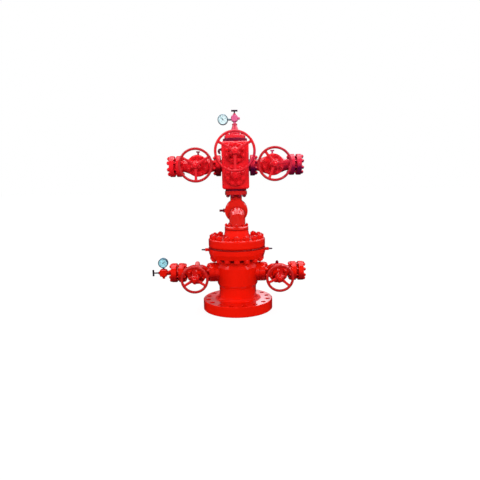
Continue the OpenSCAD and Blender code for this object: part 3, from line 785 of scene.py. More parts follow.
@dataclass(frozen=True)
class Enamel(Finish):
    """Sprayed enamel over a casting, chipped at the edges, with shade painted into its corners.

    The colours deep, upper, top, cool, under, navy and shade take over by place: upper and top
    with height and cool along the right arm, as painted tints of the light, and under and navy
    on undersides and shade in corners, as painted shade. outline paints shade on grazing
    surfaces, of which tops spares the level ones, and throat is a height above which shade is
    painted. The coat is dulled nearer the main axis than dull_in and farther out than dull_out.
    """

    colour: Colour = (0.76, 0.007, 0.001)
    deep: Colour = (0.71, 0.006, 0.001)
    # upper, top and cool are painted tints of the light; under, navy and shade are painted shade.
    upper: Colour = (0.86, 0.010, 0.019)
    top: Colour = (0.62, 0.058, 0.098)
    cool: Colour = (0.68, 0.020, 0.055)
    under: Colour = (0.13, 0.002, 0.006)
    navy: Colour = (0.08, 0.002, 0.040)
    shade: Colour = (0.17, 0.001, 0.006)
    chip: Colour = (0.24, 0.02, 0.03)
    roughness: float = 0.34
    round_off: float = 0.003
    wear: float = 0.08
    # How strongly shade is painted into the corners.
    dirt: float = 0.45
    grain: float = 0.15
    bump: float = 0.0003
    coat: float = 0.35
    coat_rough: float = 0.06
    # How strongly shade is painted on grazing surfaces.
    outline: float = 0.65
    tops: float = 1.0
    # Height above which shade is painted; 0 paints none there.
    throat: float = 0.0
    dull_in: float = 0.0
    dull_out: float = 1.0
    breakup: float = 70.0
    # How far the shade painted into corners reaches.
    corners: float = 0.022
    peel: float = 0.35

    def make(self, shop: PaintShop) -> bpy.types.Material:
        """Makes the enamel.

        Args:
            shop: The paint shop with the shared node groups.

        Returns:
            The material.
        """
        material, n, shader = self.start()
        wear = n.group(shop.wear, Radius=self.round_off, Amount=self.wear, Breakup=self.breakup)
        # Painted shade in the corners, found by ambient occlusion.
        painted_corner_shade = n.group(shop.painted_corner_shade, Reach=self.corners, Amount=self.dirt)["Mask"]
        skin = n.group(shop.skin, Grain=self.grain, Peel=self.peel)
        fade = n.group(shop.fade)
        colour = n.blend(n.ramp(skin["Tone"], 0.35, 0.68), self.colour, self.deep)
        # Painted tints of the light: upper and top up the tree, cool on the right arm and beside
        # the block.
        for mask, paint in (("Upper", self.upper), ("Crown", self.top), ("Flank", self.cool)):
            colour = n.blend(fade[mask], colour, paint)
        # Painted shade on undersides, navy on the upper ones of the right side.
        under = n.blend(n.times(fade["Right"], fade["Upper"]), self.under, self.navy)
        colour = n.blend(fade["Under"], colour, under)
        # Painted shade above the throat height.
        if self.throat > 0:
            deep = n.ramp(fade["Height"], self.throat - 0.002, self.throat + 0.004)
            colour = n.blend(n.times(deep, 0.9), colour, self.shade)
        # Painted shade on grazing surfaces, which spares level tops.
        grazing = n.ramp(n.add("LayerWeight").outputs["Facing"], 0.50, 0.95)
        upright = n.maths("SUBTRACT", 1.0, n.times(fade["Level"], self.tops))
        colour = n.blend(n.times(grazing, upright, self.outline), colour, self.shade)
        # Painted shade in the corners.
        colour = n.blend(painted_corner_shade, colour, self.shade)
        colour = n.blend(wear["Mask"], colour, self.chip)
        rough = n.plus(n.times(n.noise(40.0, 4.0), 0.16), self.roughness - 0.08,
                       n.times(painted_corner_shade, 0.25))
        coat = self.coat
        if self.dull_in > 0:
            ring = (self.dull_in, self.dull_in + 0.012, self.dull_out - 0.004, self.dull_out)
            coat = n.times(n.band(fade["Reach"], ring), self.coat)
        n.feed(shader, Base_Color=colour, Roughness=rough, Coat_Weight=coat,
               Coat_Roughness=self.coat_rough, Coat_IOR=1.5, Specular_IOR_Level=0.05,
               Normal=n.bump(skin["Height"], wear["Normal"], self.bump, 0.6))
        return material


@dataclass(frozen=True)
class Steel(Finish):
    """Bare or blued steel with fine scratches and dull spots, and shade painted into its corners.
    """

    colour: Colour = (0.10, 0.09, 0.11)
    spots: Colour = (0.04, 0.02, 0.035)
    roughness: float = 0.42
    metallic: float = 0.85
    wear: float = 0.6
    bright: Colour = (0.35, 0.34, 0.36)

    def make(self, shop: PaintShop) -> bpy.types.Material:
        """Makes the steel.

        Args:
            shop: The paint shop with the shared node groups.

        Returns:
            The material.
        """
        material, n, shader = self.start()
        wear = n.group(shop.wear, Radius=0.0012, Amount=self.wear, Breakup=140.0)
        painted_corner_shade = n.group(shop.painted_corner_shade, Reach=0.012, Amount=0.6)["Mask"]
        spots = n.ramp(n.noise(55.0, 6.0, 0.7), 0.42, 0.62)
        # Painted shade: corners take the dull spots' colour.
        colour = n.blend(painted_corner_shade, n.blend(spots, self.colour, self.spots), self.spots)
        rough = n.plus(n.times(n.noise(150.0, 5.0, 0.7), 0.3), self.roughness - 0.15)
        n.feed(shader, Base_Color=n.blend(wear["Mask"], colour, self.bright), Roughness=rough,
               Normal=n.bump(n.noise(400.0, 4.0), wear["Normal"], 0.0004, 0.5),
               Metallic=self.metallic)
        return material


@dataclass(frozen=True)
class Print(Finish):
    """Print on a gauge in two uneven tints.

    patches holds the noise's scale and detail and the ramp's ends, and matt the scale, spread
    and least value of the roughness.
    """

    colour: Colour = (0.72, 0.90, 0.93)
    second: Colour = (0.62, 0.85, 0.90)
    patches: Band = (30.0, 4.0, 0.3, 0.7)
    matt: Point = (300.0, 0.2, 0.35)

    def make(self, shop: PaintShop) -> bpy.types.Material:
        """Makes the print.

        Args:
            shop: The paint shop with the shared node groups; not used.

        Returns:
            The material.
        """
        material, n, shader = self.start()
        scale, detail, low, high = self.patches
        tint = n.blend(n.ramp(n.noise(scale, detail), low, high), self.colour, self.second)
        scale, spread, least = self.matt
        rough = n.plus(n.times(n.noise(scale, 2.0), spread), least)
        n.feed(shader, Base_Color=tint, Roughness=rough)
        return material


@dataclass(frozen=True)
class Glass(Finish):
    """Clear gauge glass with faint smears."""

    colour: Colour = (0.94, 1.0, 1.0)

    def make(self, shop: PaintShop) -> bpy.types.Material:
        """Makes the glass.

        Args:
            shop: The paint shop with the shared node groups; not used.

        Returns:
            The material.
        """
        material, n, shader = self.start()
        smear = n.times(n.ramp(n.noise(60.0), 0.5, 0.8), 0.10)
        n.feed(shader, Base_Color=self.colour, Roughness=smear, Transmission_Weight=1.0,
               IOR=1.45, Alpha=0.12)
        return material


class Paint(Enum):
    """The finishes of the wellhead."""

    RED = Enamel("red_enamel")
    GLOSS = Enamel("gloss_enamel", coat=1.0, dull_in=0.176, dull_out=0.2685)
    # LEG and DRUM are darker copies of the red enamel: painted shade on the elbow and the drum.
    LEG = Enamel(
        "leg_enamel", colour=(0.66, 0.007, 0.001), deep=(0.61, 0.006, 0.001),
        upper=(0.66, 0.008, 0.010), coat=1.0, coat_rough=0.15,
    )
    # DRUM paints more shade into corners and on grazing surfaces.
    DRUM = Enamel(
        "drum_enamel", colour=(0.64, 0.010, 0.003), deep=(0.58, 0.008, 0.002),
        upper=(0.64, 0.010, 0.012), coat=1.0, outline=0.95, dirt=0.75,
    )
    WHEEL = Enamel(
        "wheel_enamel", colour=(0.66, 0.010, 0.007), deep=(0.56, 0.007, 0.006),
        upper=(0.68, 0.014, 0.022), cool=(0.56, 0.018, 0.060), under=(0.44, 0.008, 0.012),
        navy=(0.42, 0.009, 0.026), round_off=0.002, grain=0.3, bump=0.0004, tops=0.0,
    )
    # RIM is a darker copy of the wheel enamel: painted shade on the side wheels' rims.
    RIM = Enamel(
        "rim_enamel", colour=(0.52, 0.012, 0.010), deep=(0.42, 0.008, 0.008),
        upper=(0.50, 0.016, 0.022), cool=(0.46, 0.016, 0.050), under=(0.34, 0.008, 0.012),
        navy=(0.32, 0.008, 0.024), shade=(0.12, 0.004, 0.010), round_off=0.002, grain=0.3,
        bump=0.0004, outline=0.85, tops=0.0,
    )
    NUT = Enamel(
        "nut_enamel", colour=(0.74, 0.008, 0.003), deep=(0.68, 0.006, 0.003), round_off=0.0012,
        wear=0.25, dirt=0.25, outline=0.20, coat=0.5,
    )
    # SPOOL paints shade on the throat under the head flange.
    SPOOL = Enamel("spool_enamel", throat=0.386)
    PINK = Enamel(
        "pink_enamel", colour=(0.64, 0.125, 0.27), deep=(0.58, 0.10, 0.23),
        top=(0.64, 0.125, 0.27), shade=(0.18, 0.01, 0.09), round_off=0.002,
    )
    # KNOB is a paler, pinker copy of the red enamel: a painted highlight on the upward-facing knob.
    KNOB = Enamel(
        "knob_enamel", colour=(0.78, 0.20, 0.20), deep=(0.74, 0.16, 0.16),
        shade=(0.25, 0.03, 0.03), round_off=0.002,
    )
    MAROON = Enamel(
        "maroon_enamel", colour=(0.17, 0.003, 0.014), deep=(0.13, 0.002, 0.010),
        upper=(0.16, 0.003, 0.026), shade=(0.05, 0.001, 0.008), round_off=0.0012, coat=0.15,
    )
    # The dark paint of bands of painted shade in joint gaps.
    SEAM = Enamel(
        "joint_shade_enamel", colour=(0.30, 0.003, 0.003), deep=(0.24, 0.002, 0.002),
        upper=(0.26, 0.003, 0.005), shade=(0.10, 0.001, 0.002), round_off=0.0012, coat=0.15,
    )
    # WINE is a darker copy of the nut enamel: painted shade on the nuts under the tree flange.
    WINE = Enamel(
        "wine_enamel", colour=(0.34, 0.006, 0.018), deep=(0.28, 0.004, 0.014),
        upper=(0.34, 0.006, 0.024), shade=(0.06, 0.001, 0.008), round_off=0.0012,
    )
    # VIOLET is a violet copy of the maroon: the right arm's painted tint of the light, on its vent.
    VIOLET = Enamel(
        "violet_enamel", colour=(0.42, 0.018, 0.12), deep=(0.34, 0.014, 0.10),
        upper=(0.42, 0.018, 0.12), shade=(0.08, 0.002, 0.03), round_off=0.0012,
    )
    DARK = Steel("dark_steel", colour=(0.06, 0.035, 0.055))
    CASE = Steel(
        "gauge_case", colour=(0.16, 0.26, 0.30), spots=(0.09, 0.16, 0.19), metallic=0.3,
        roughness=0.45,
    )
    CASE_BLUE = Steel(
        "blue_case", colour=(0.04, 0.13, 0.19), spots=(0.02, 0.07, 0.11), metallic=0.2,
        roughness=0.45,
    )
    DIAL = Print("dial_face")
    DIAL_BLUE = Print("blue_dial_face", colour=(0.40, 0.80, 0.88), second=(0.30, 0.68, 0.80))
    INK = Print(
        "dial_ink", colour=(0.04, 0.06, 0.07), second=(0.088, 0.132, 0.154),
        patches=(200.0, 3.0, 0.45, 0.7), matt=(180.0, 0.25, 0.4),
    )
    GLASS = Glass("gauge_glass")


@dataclass
class Layout:
    """Main places of the wellhead, read from the frame where a node's box gives them."""

    head_t: float = 0.074
    adapter_t: float = 0.072
    elbow_flange_t: float = 0.030
    tree_flange_t: float = 0.032
    tree_gap: float = 0.006
    ring_gap: float = 0.016
    cap_gap: float = 0.008
    up_flange_t: float = 0.038
    up_stub: float = 0.011
    low_flange_t: float = 0.041
    low_inner_t: float = 0.046
    cap_t: float = 0.026
    block_bonnet_t: float = 0.030
    bonnet_t: float = 0.026

    def foot(self, node: str) -> float:
        """Gives the height of a node's underside."""
        return box(node)[0].z

    @property
    def tree_y(self) -> float:
        """Y of the tree's axis."""
        return middle("valve_block")[1]


@dataclass
class StandIn:
    """A finer piece that takes the place of one CAD node."""

    node: str
    paints: tuple[Paint, ...] = field(default=(Paint.RED,), kw_only=True)
    slot: str = field(default="red_paint", kw_only=True)
    body: str = field(default="wellhead", kw_only=True)
    crease: float = field(default=30.0, kw_only=True)

    def shape(self, forge: Forge) -> None:
        """Forges the piece.

        Args:
            forge: The forge that collects its shapes.
        """
        raise NotImplementedError

    def build(self, shop: PaintShop) -> None:
        """Makes the piece and puts it in place of its node.

        Args:
            shop: The paint shop.
        """
        forge = Forge(self.node + "_cast")
        self.shape(forge)
        piece = shop.hang(forge, self.paints, self.body, self.crease)
        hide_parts(self.node)
        LOG.info("%s: %s", self.node, type(self).__name__)


@dataclass
class HandwheelLook(StandIn):
    """Cast handwheel with three dished spokes, a webbed hub, and the stem with its nut."""

    turn_deg: float
    bar: float = 0.010
    dish: float = 0.014
    hub_r: float = 0.027
    hub_half: float = 0.017
    stem_r: float = 0.013
    stem_back: float = 0.059
    stem_tip: float = 0.022
    spokes: int = 3
    voxel: float = 0.0022
    rounds: int = 5
    crease: float = field(default=60.0, kw_only=True)

    @property
    def place(self) -> Matrix:
        """The wheel's own frame, at the middle of its hub.

        Returns:
            The matrix from the wheel's frame to the wellhead's.
        """
        x, _, z = middle(self.node)
        y = box(self.node)[0].y + self.hub_half + self.stem_tip
        return Way.FRONT.frame((x, y, z)) @ spin(math.radians(self.turn_deg))

    def build(self, shop: PaintShop) -> None:
        """Makes the wheel in place of the CAD one, and its stem.

        Args:
            shop: The paint shop.
        """
        super().build(shop)
        forge = Forge(self.node + "_stem")
        self.stem(forge)
        shop.hang(forge, (Paint.NUT,), self.body)

    def shape(self, forge: Forge) -> None:
        """Forges the wheel as one casting and gives its rim the second paint.

        Args:
            forge: The forge that collects the shapes.
        """
        place = self.place
        flat = place.to_3x3() @ Vector((0, 0, 1))
        radius = lengths(self.node)[0] / 2
        self.rim(forge, radius - self.bar, place, flat)
        share = 2 * math.pi / self.spokes
        for k in range(self.spokes):
            self.spoke(forge, radius - self.bar, place @ spin(k * share), flat)
        hub = [(0, -self.hub_half), (self.hub_r - 0.004, -self.hub_half), (self.hub_r, -0.010),
               (self.hub_r, 0.008), (self.hub_r - 0.005, self.hub_half), (0, self.hub_half)]
        forge.lathe(hub, place, 48)
        for k in range(self.spokes):
            self.lobe(forge, place @ spin((k + 0.5) * share), flat)
        forge.cast(self.voxel, self.rounds)
        # The rim's faces take the second paint, for the side wheels the darker RIM: painted shade.
        rim_from = radius - 2.1 * self.bar
        back = place.inverted()
        for face in forge.mesh.faces:
            spot = back @ face.calc_center_median()
            face.material_index = int(math.hypot(spot.x, spot.y) > rim_from)

    def rim(self, forge: Forge, mid: float, place: Matrix, flat: Vector) -> None:
        """Adds the round rim.

        Args:
            forge: The forge that collects the shapes.
            mid: Radius of the bar's centre line.
            place: Matrix from the shape's frame to the piece's.
            flat: Direction of the wheel's axis.
        """
        angles = [2 * math.pi * i / 96 for i in range(96)]
        path = [place @ Vector((mid * math.cos(a), mid * math.sin(a), self.dish)) for a in angles]
        forge.tube(path, [self.bar] * len(path), 16, 1.0, flat, closed=True)

    def spoke(self, forge: Forge, end: float, place: Matrix, flat: Vector) -> None:
        """Adds one spoke with the web behind it, from the hub to the rim.

        Args:
            forge: The forge that collects the shapes.
            end: Radius of the rim's centre line.
            place: Matrix from the shape's frame to the piece's.
            flat: Direction of the wheel's axis.
        """
        steps = 14
        start = 0.012
        points, radii, webs, thin = [], [], [], []
        for i in range(steps + 1):
            t = i / steps
            x = start + (end - start) * t
            z = self.dish * ease(t) - 0.002 * math.sin(math.pi * t)
            points.append(place @ Vector((x, 0, z)))
            radii.append(0.0098 + 0.0062 * (1 - t) ** 3 + 0.002 * t ** 4)
            webs.append(place @ Vector((x, 0, z - 0.004 - 0.005 * (1 - t))))
            thin.append(0.0035 + 0.001 * (1 - t))
        forge.tube(points, radii, 14, 0.46, flat)
        forge.tube(webs, thin, 10, 1.5, flat)

    def lobe(self, forge: Forge, place: Matrix, flat: Vector) -> None:
        """Adds one short lobe of the star-shaped hub, between two spokes.

        Args:
            forge: The forge that collects the shapes.
            place: Matrix from the shape's frame to the piece's.
            flat: Direction of the wheel's axis.
        """
        points = [place @ Vector((0.010 + 0.004 * i, 0, 0.002)) for i in range(8)]
        radii = [0.0165 - 0.0009 * i for i in range(7)] + [0.006]
        forge.tube(points, radii, 14, 0.62, flat)

    def stem(self, forge: Forge) -> None:
        """Forges the stem, the hub's nut and the threaded end.

        Args:
            forge: The forge that collects the shapes.
        """
        forge.nut(0.036, 0.013, self.place @ lift(self.hub_half))
        r = self.stem_r
        top = self.hub_half + self.stem_tip
        profile = raised(-self.stem_back, (0, 0), (r - 0.001, 0), (r, 0.001))
        profile += [(r, 0.0), (r * 0.8, 0.0)]
        profile += thread(r * 0.80, r * 0.72, self.hub_half + 0.012, top - 0.003, 0.002)
        forge.lathe(profile + [(r * 0.6, top), (0, top)], self.place, 24)


@dataclass(frozen=True)
class ValveSize:
    """Sizes of one row's gate valves; places along the run count from the stem."""

    stem_x: float
    inner: float
    outer: float
    belly: float
    neck: float
    inner_t: float
    outer_t: float
    flange: float
    bonnet: float
    stub: float = 0.0
    stub_r: float = 0.048
    seat: float = 0.076
    seat_t: float = 0.024
    half: float = 0.034
    fillet: float = 0.008


UPPER_VALVE = ValveSize(
    stem_x=0.294, inner=0.177, outer=0.173, belly=0.070, neck=0.044, inner_t=0.038, outer_t=0.038,
    flange=0.0825, bonnet=0.084, stub=0.011,
)
LOWER_VALVE = ValveSize(
    stem_x=0.312, inner=0.140, outer=0.146, belly=0.060, neck=0.040, inner_t=0.046, outer_t=0.041,
    flange=0.075, bonnet=0.070,
)


@dataclass
class ValveCasting(StandIn):
    """Gate valve body: a swelling run between two flanges, the barrel, and the top boss."""

    side: Side
    size: ValveSize
    voxel: float = 0.0034
    rounds: int = 7
    boss_r: float = 0.018
    crease: float = field(default=42.0, kw_only=True)

    def shape(self, forge: Forge) -> None:
        """Forges run, barrel, boss and ribs as one casting, then the flanges.

        Args:
            forge: The forge that collects the shapes.
        """
        s = self.size
        _, y, z = middle(self.node.replace("_valve", "_end_flange"))
        mirror = Matrix.Diagonal((self.side.value, 1, 1, 1))
        base = Way.FRONT.frame((self.side.value * s.stem_x, y, z)) @ mirror
        along = base @ spin(math.pi / 2, "Y")
        forge.lathe(self.run(), along, 64)
        barrel, collar = s.belly - 0.004, s.bonnet - 0.012
        forge.lathe([(0, 0), (barrel, 0), (barrel, 0.034), (collar, 0.056), (collar, 0.070),
                     (0, 0.070)], base, 64)
        boss = base @ lift(0.010) @ spin(-math.pi / 2, "X")
        top = s.belly + 0.002
        forge.lathe([(0, 0), (self.boss_r, 0), (self.boss_r, top), (0, top)], boss, 32)
        for sign in (-1, 1):
            rib = [base @ Vector((sign * x, 0, z)) for x, z in
                   ((0.030, 0.046), (0.060, 0.040), (0.090, 0.014))]
            forge.tube(rib, [0.016, 0.018, 0.012], 14, 1.0, base.to_3x3() @ Vector((0, 1, 0)))
        forge.cast(self.voxel, self.rounds)
        forge.lathe(disc(s.bonnet, s.seat - s.seat_t, s.seat), base, 72)
        forge.lathe(disc(self.boss_r, s.belly - 0.004, s.belly + 0.005, 0.0015), boss, 32)
        forge.lathe(disc(s.flange, -s.inner, -s.inner + s.inner_t), along, 72)
        forge.lathe(disc(s.flange, s.outer - s.outer_t, s.outer), along, 72)
        if s.stub > 0:
            stub = disc(s.stub_r, -s.inner - s.stub, -s.inner + 0.002, 0.001)
            forge.lathe(stub, along, 64)

    def run(self) -> Profile:
        """Gives the profile of the run, from the inner flange to the outer one.

        Returns:
            The points for Forge.lathe.
        """
        s = self.size
        wide = s.neck + s.fillet
        root, tip = -s.inner + s.inner_t, s.outer - s.outer_t
        points = raised(-s.inner, (0, 0.004), (wide, 0.004))
        points += raised(root, (wide, 0.002), (s.neck, s.fillet))
        points += self.swell(root + s.fillet)
        points += [(r, -z) for r, z in reversed(self.swell(-tip + s.fillet))]
        points += raised(tip, (s.neck, -s.fillet), (wide, -0.002))
        points += raised(s.outer, (wide, -0.004), (0, -0.004))
        return points

    def swell(self, start: float) -> Profile:
        """Gives the smooth widening from the neck to the belly.

        Args:
            start: Height at which the neck ends.

        Returns:
            The points for Forge.lathe.
        """
        s = self.size
        steps = [i / 8 for i in range(1, 9)]
        return [(s.neck + (s.belly - s.neck) * ease(t), start + (-s.half - start) * t)
                for t in steps]


def bonnet_flange(radius: float, thick: float) -> Profile:
    """Gives the profile of a bonnet's flange up to the top of its rim."""
    foot = [(0, 0), (radius - 0.003, 0), (radius, 0.003)]
    return foot + raised(thick, (radius, -0.004), (radius - 0.004, 0))


@dataclass
class BonnetLook(StandIn):
    """Bonnet with a filleted neck, a ringed bearing housing and a grease nipple."""

    flange_t: float
    neck: float
    housing: float = 0.030
    housing_len: float = 0.044
    bore: float = 0.0133
    crease: float = field(default=32.0, kw_only=True)

    def shape(self, forge: Forge) -> None:
        """Forges the bonnet and its nipple.

        Args:
            forge: The forge that collects the shapes.
        """
        place = Way.FRONT.stand(self.node)
        across, top, _ = lengths(self.node)
        start, neck, housing = self.flange_t, self.neck, self.housing
        shoulder = top - self.housing_len
        groove = housing - 0.0025
        profile = bonnet_flange(across / 2, start)
        profile += raised(start, (neck + 0.006, 0), (neck + 0.002, 0.002), (neck, 0.006),
                          (neck, 0.010))
        for t in (i / 8 for i in range(1, 9)):
            radius = neck + (housing - neck) * t - 0.004 * math.sin(math.pi * t)
            profile.append((radius, start + 0.010 + (shoulder - start - 0.010) * t))
        profile.append((housing, shoulder + 0.002))
        profile += raised(top, (housing, -0.022), (groove, -0.0215), (groove, -0.018),
                          (housing, -0.0175), (housing, -0.003), (housing - 0.003, 0),
                          (self.bore, 0), (self.bore, -0.030), (0, -0.030))
        forge.lathe(profile, place, 72)
        nipple = place @ lift(top - 0.032) @ spin(-math.pi / 2, "X") @ lift(housing - 0.002)
        forge.nut(0.010, 0.005, nipple)
        forge.lathe([(0, 0.004), (0.0032, 0.004), (0.0028, 0.009), (0.0036, 0.011),
                     (0.0030, 0.013), (0, 0.0135)], nipple, 16)


@dataclass
class LowerBonnetLook(StandIn):
    """Blind bonnet of the lower master gate, with a domed cap screwed on its cone."""

    flange_t: float = 0.030
    crease: float = field(default=32.0, kw_only=True)

    def shape(self, forge: Forge) -> None:
        """Forges the blind bonnet.

        Args:
            forge: The forge that collects the shapes.
        """
        across, top, _ = lengths(self.node)
        profile = bonnet_flange(across / 2, self.flange_t)
        profile += raised(self.flange_t, (0.046, 0), (0.042, 0.002), (0.036, 0.010),
                          (0.0335, 0.013), (0.0275, 0.014), (0.0265, 0.018))
        profile += raised(top, (0.0265, -0.009), (0.0245, -0.004), (0.020, -0.001), (0, 0))
        forge.lathe(profile, Way.FRONT.stand(self.node), 72)


@dataclass
class HandleLook(StandIn):
    """T-handle with swollen ends on a threaded stem."""

    way: Way
    stem_r: float = 0.006
    bar_r: float = 0.008
    crease: float = field(default=50.0, kw_only=True)

    def shape(self, forge: Forge) -> None:
        """Forges the stem and the bar across its end.

        Args:
            forge: The forge that collects the shapes.
        """
        place = self.way.stand(self.node)
        x, _, z = lengths(self.node)
        length, reach, cross = (z, x / 2, Vector((1, 0, 0)))
        if self.way is not Way.UP:
            length, reach, cross = (x, z / 2, Vector((0, 0, 1)))
        r = self.stem_r
        profile = [(0, 0), (r * 0.8, 0), (r, 0.001)]
        profile += thread(r, r * 0.84, 0.004, length - 0.022, 0.0018)
        profile += raised(length, (r, -0.018), (r, -0.006), (0, -0.006))
        forge.lathe(profile, place, 16)
        centre = place @ Vector((0, 0, length - self.bar_r))
        path, radii = [], []
        for share in (i / 8 - 1 for i in range(17)):
            t = abs(share)
            swollen = 0.86 + 0.10 * math.exp(-(t / 0.25) ** 2) + 0.14 * max(0.0, t - 0.45) / 0.55
            path.append(centre + cross * reach * share)
            radii.append(self.bar_r * swollen * (1.0 if t < 0.97 else 0.85))
        forge.tube(path, radii, 16, 1.0, Vector((0, 1, 0)))


@dataclass
class VentLook(StandIn):
    """Vent fitting: hexagon foot, threaded body and a cross bar with round ends."""

    crease: float = field(default=45.0, kw_only=True)

    def shape(self, forge: Forge) -> None:
        """Forges foot, body and cross bar.

        Args:
            forge: The forge that collects the shapes.
        """
        place = Way.UP.stand(self.node)
        across, _, height = lengths(self.node)
        forge.nut(0.022, 0.010, place)
        profile = [(0, 0.009), (0.0092, 0.009), (0.0092, 0.016), (0.0070, 0.018)]
        profile += raised(height, (0.0070, -0.012), (0.0085, -0.011), (0.0085, -0.002),
                          (0, -0.001))
        forge.lathe(profile, place, 24)
        centre = place @ Vector((0, 0, height - 0.006))
        shares = [i / 6 - 1 for i in range(13)]
        path = [centre + Vector((across / 2 * share, 0, 0)) for share in shares]
        radii = [0.0050 + 0.0009 * max(0.0, abs(share) - 0.4) / 0.6 for share in shares]
        forge.tube(path, radii, 12, 1.0, Vector((0, 1, 0)))


@dataclass
class PlugLook(StandIn):
    """Hexagon plug with a small square head."""

    flat: float = 0.022

    def shape(self, forge: Forge) -> None:
        """Forges the hexagon and the square.

        Args:
            forge: The forge that collects the shapes.
        """
        place = Way.UP.stand(self.node)
        height = lengths(self.node)[2]
        forge.nut(self.flat, height - 0.006, place)
        head = raised(height, (0, -0.007), (0.0068, -0.007), (0.0068, -0.001), (0.0058, 0), (0, 0))
        forge.lathe(head, place @ spin(math.pi / 4), 4)


@dataclass
class BleedLook(StandIn):
    """Hooked bleed pipe with its nut and end cap."""

    pipe: float = 0.0084
    rise: float = 0.0365
    bend: float = 0.010
    drop: float = 0.018
    crease: float = field(default=45.0, kw_only=True)

    def shape(self, forge: Forge) -> None:
        """Forges the pipe along its two bends, and both nuts.

        Args:
            forge: The forge that collects the shapes.
        """
        low, high = box(self.node)
        y = middle(self.node)[1]
        top, out, bend = low.z + self.rise, low.x + 0.0085, self.bend
        turn = [math.pi / 2 * i / 7 for i in range(1, 8)]
        foot = top - self.drop
        spots = [(high.x, top), (out + bend, top)]
        spots += [(out + bend - bend * math.sin(a), top - bend + bend * math.cos(a)) for a in turn]
        spots += [(out, foot)]
        spots += [(out + bend - bend * math.cos(a), foot - bend * math.sin(a)) for a in turn]
        spots += [(out + 0.012, foot - bend)]
        path = [Vector((x, y, z)) for x, z in spots]
        forge.tube(path, [self.pipe] * len(path), 16, 1.0, Vector((0, 1, 0)))
        forge.nut(0.026, 0.009, Way.LEFT.frame((high.x, y, top)))
        forge.nut(0.0190, 0.008, Way.DOWN.frame((out, y, top - 0.010)))


@dataclass
class NeedleLook(StandIn):
    """Needle valve body: a forged block with a hexagon boss on each side, and the gland."""

    way: Way
    width: float
    neck: float
    gland: float = 0.010
    depth: float = 0.044

    def shape(self, forge: Forge) -> None:
        """Forges block, bosses, plug, neck and gland.

        Args:
            forge: The forge that collects the shapes.
        """
        low, high = box(self.node)
        x, _, z = lengths(self.node)
        y = middle(self.node)[1]
        half = self.width / 2
        centre = (high.x - half, y, high.z - half)
        plug, reach = Way.DOWN, z - half
        if self.way is Way.UP:
            centre = (low.x + half, y, low.z + self.neck + half)
            plug, reach = Way.RIGHT, x - half
        core = self.width - 0.009
        forge.box((core, self.depth, core - 0.002), centre, 0.0045)
        for way in (Way.UP, Way.RIGHT):
            forge.nut(half * 1.06, self.width, way.frame(centre) @ lift(-half))
        forge.nut(0.018, reach - half, plug.frame(centre) @ lift(half))
        stem = self.way.frame(centre)
        if self.neck > 0:
            neck = raised(-half, (0, -self.neck), (0.0115, -self.neck), (0.0095, -0.003),
                          (0.012, 0), (0, 0))
            forge.lathe(neck, stem, 24)
        gland = raised(half, (0, 0), (0.0115, 0), (0.0115, 0.005), (0.0090, 0.006),
                       (0.0090, self.gland), (0, self.gland))
        forge.lathe(gland, stem, 24, 1)


@dataclass
class ElbowLook(StandIn):
    """Elbow with its flange, a straight leg, a slanted shoulder and a run to the drum."""

    radius: float = 0.062
    flange_r: float = 0.092
    shift: float = 0.007
    axis_over: float = 0.079
    shoulder: float = 0.020
    dip: float = 0.014
    drum_front: float = 0.085
    crease: float = field(default=24.0, kw_only=True)

    def shape(self, forge: Forge) -> None:
        """Forges the flange, then leg, shoulder and run as rings around the bend.

        Args:
            forge: The forge that collects the shapes.
        """
        foot = Layout().foot(self.node)
        top = foot + Layout().elbow_flange_t
        axis = top + self.axis_over
        wide = self.flange_r
        flange = raised(foot, (0, 0), (wide - 0.006, 0), (wide - 0.002, 0.002), (wide, 0.006))
        flange += raised(top, (wide, -0.008), (wide - 0.003, -0.003), (wide - 0.008, 0), (0, 0))
        forge.lathe(flange, Matrix.Identity(4), 96)
        sides = 72
        rings: list[Ring] = [[] for _ in range(7)]
        for angle in (2 * math.pi * i / sides for i in range(sides)):
            x = self.shift + self.radius * math.cos(angle)
            back = self.radius * math.sin(angle)
            front = max(0.0, -math.sin(angle))
            rise = self.shoulder * front
            level = axis - back
            dipped = rise - self.dip * 4 * front * (1 - front)
            low = (back, level if back > 0 else axis + dipped)
            high = (back if back > 0 else -rise, level)
            bulge = 0.003 * front
            mean = ((low[0] + high[0]) / 2 - bulge, (low[1] + high[1]) / 2 + bulge)
            spots = [(back * 1.05, top - 0.004), (back, top + 0.004), low, mean, high,
                     (self.drum_front - 0.005, level), (self.drum_front + 0.004, level)]
            for ring, (y, z) in zip(rings, spots):
                ring.append(forge.mesh.verts.new((x, y, z)))
        forge.loft(rings)


@dataclass
class LockdownLook(StandIn):
    """Gland nuts and squared ends of the two lockdown screws."""

    screw: float = 0.0072
    crease: float = field(default=40.0, kw_only=True)

    def shape(self, forge: Forge) -> None:
        """Forges gland, nut and screw on both sides.

        Args:
            forge: The forge that collects the shapes.
        """
        low, high = box(self.node)
        foot = box("head_flange")[1].x - 0.0015
        gland = [(0, 0), (0.0128, 0), (0.0128, 0.012), (0.0110, 0.0125), (0.0110, 0.014),
                 (0, 0.014)]
        for way, sign, tip in ((Way.LEFT, -1, -low.x), (Way.RIGHT, 1, high.x)):
            place = way.frame((foot * sign, 0.0, middle(self.node)[2]))
            reach = tip - foot
            forge.lathe(gland, place, 32, 1)
            forge.nut(0.0235, 0.016, place @ lift(0.014), 1)
            profile = [(0, 0.028), (self.screw, 0.028)]
            profile += thread(self.screw, 0.0060, 0.031, reach - 0.014, 0.0024)
            profile += raised(reach, (0.0055, -0.012), (0.0055, -0.001), (0.0045, 0), (0, 0))
            forge.lathe(profile, place, 20)


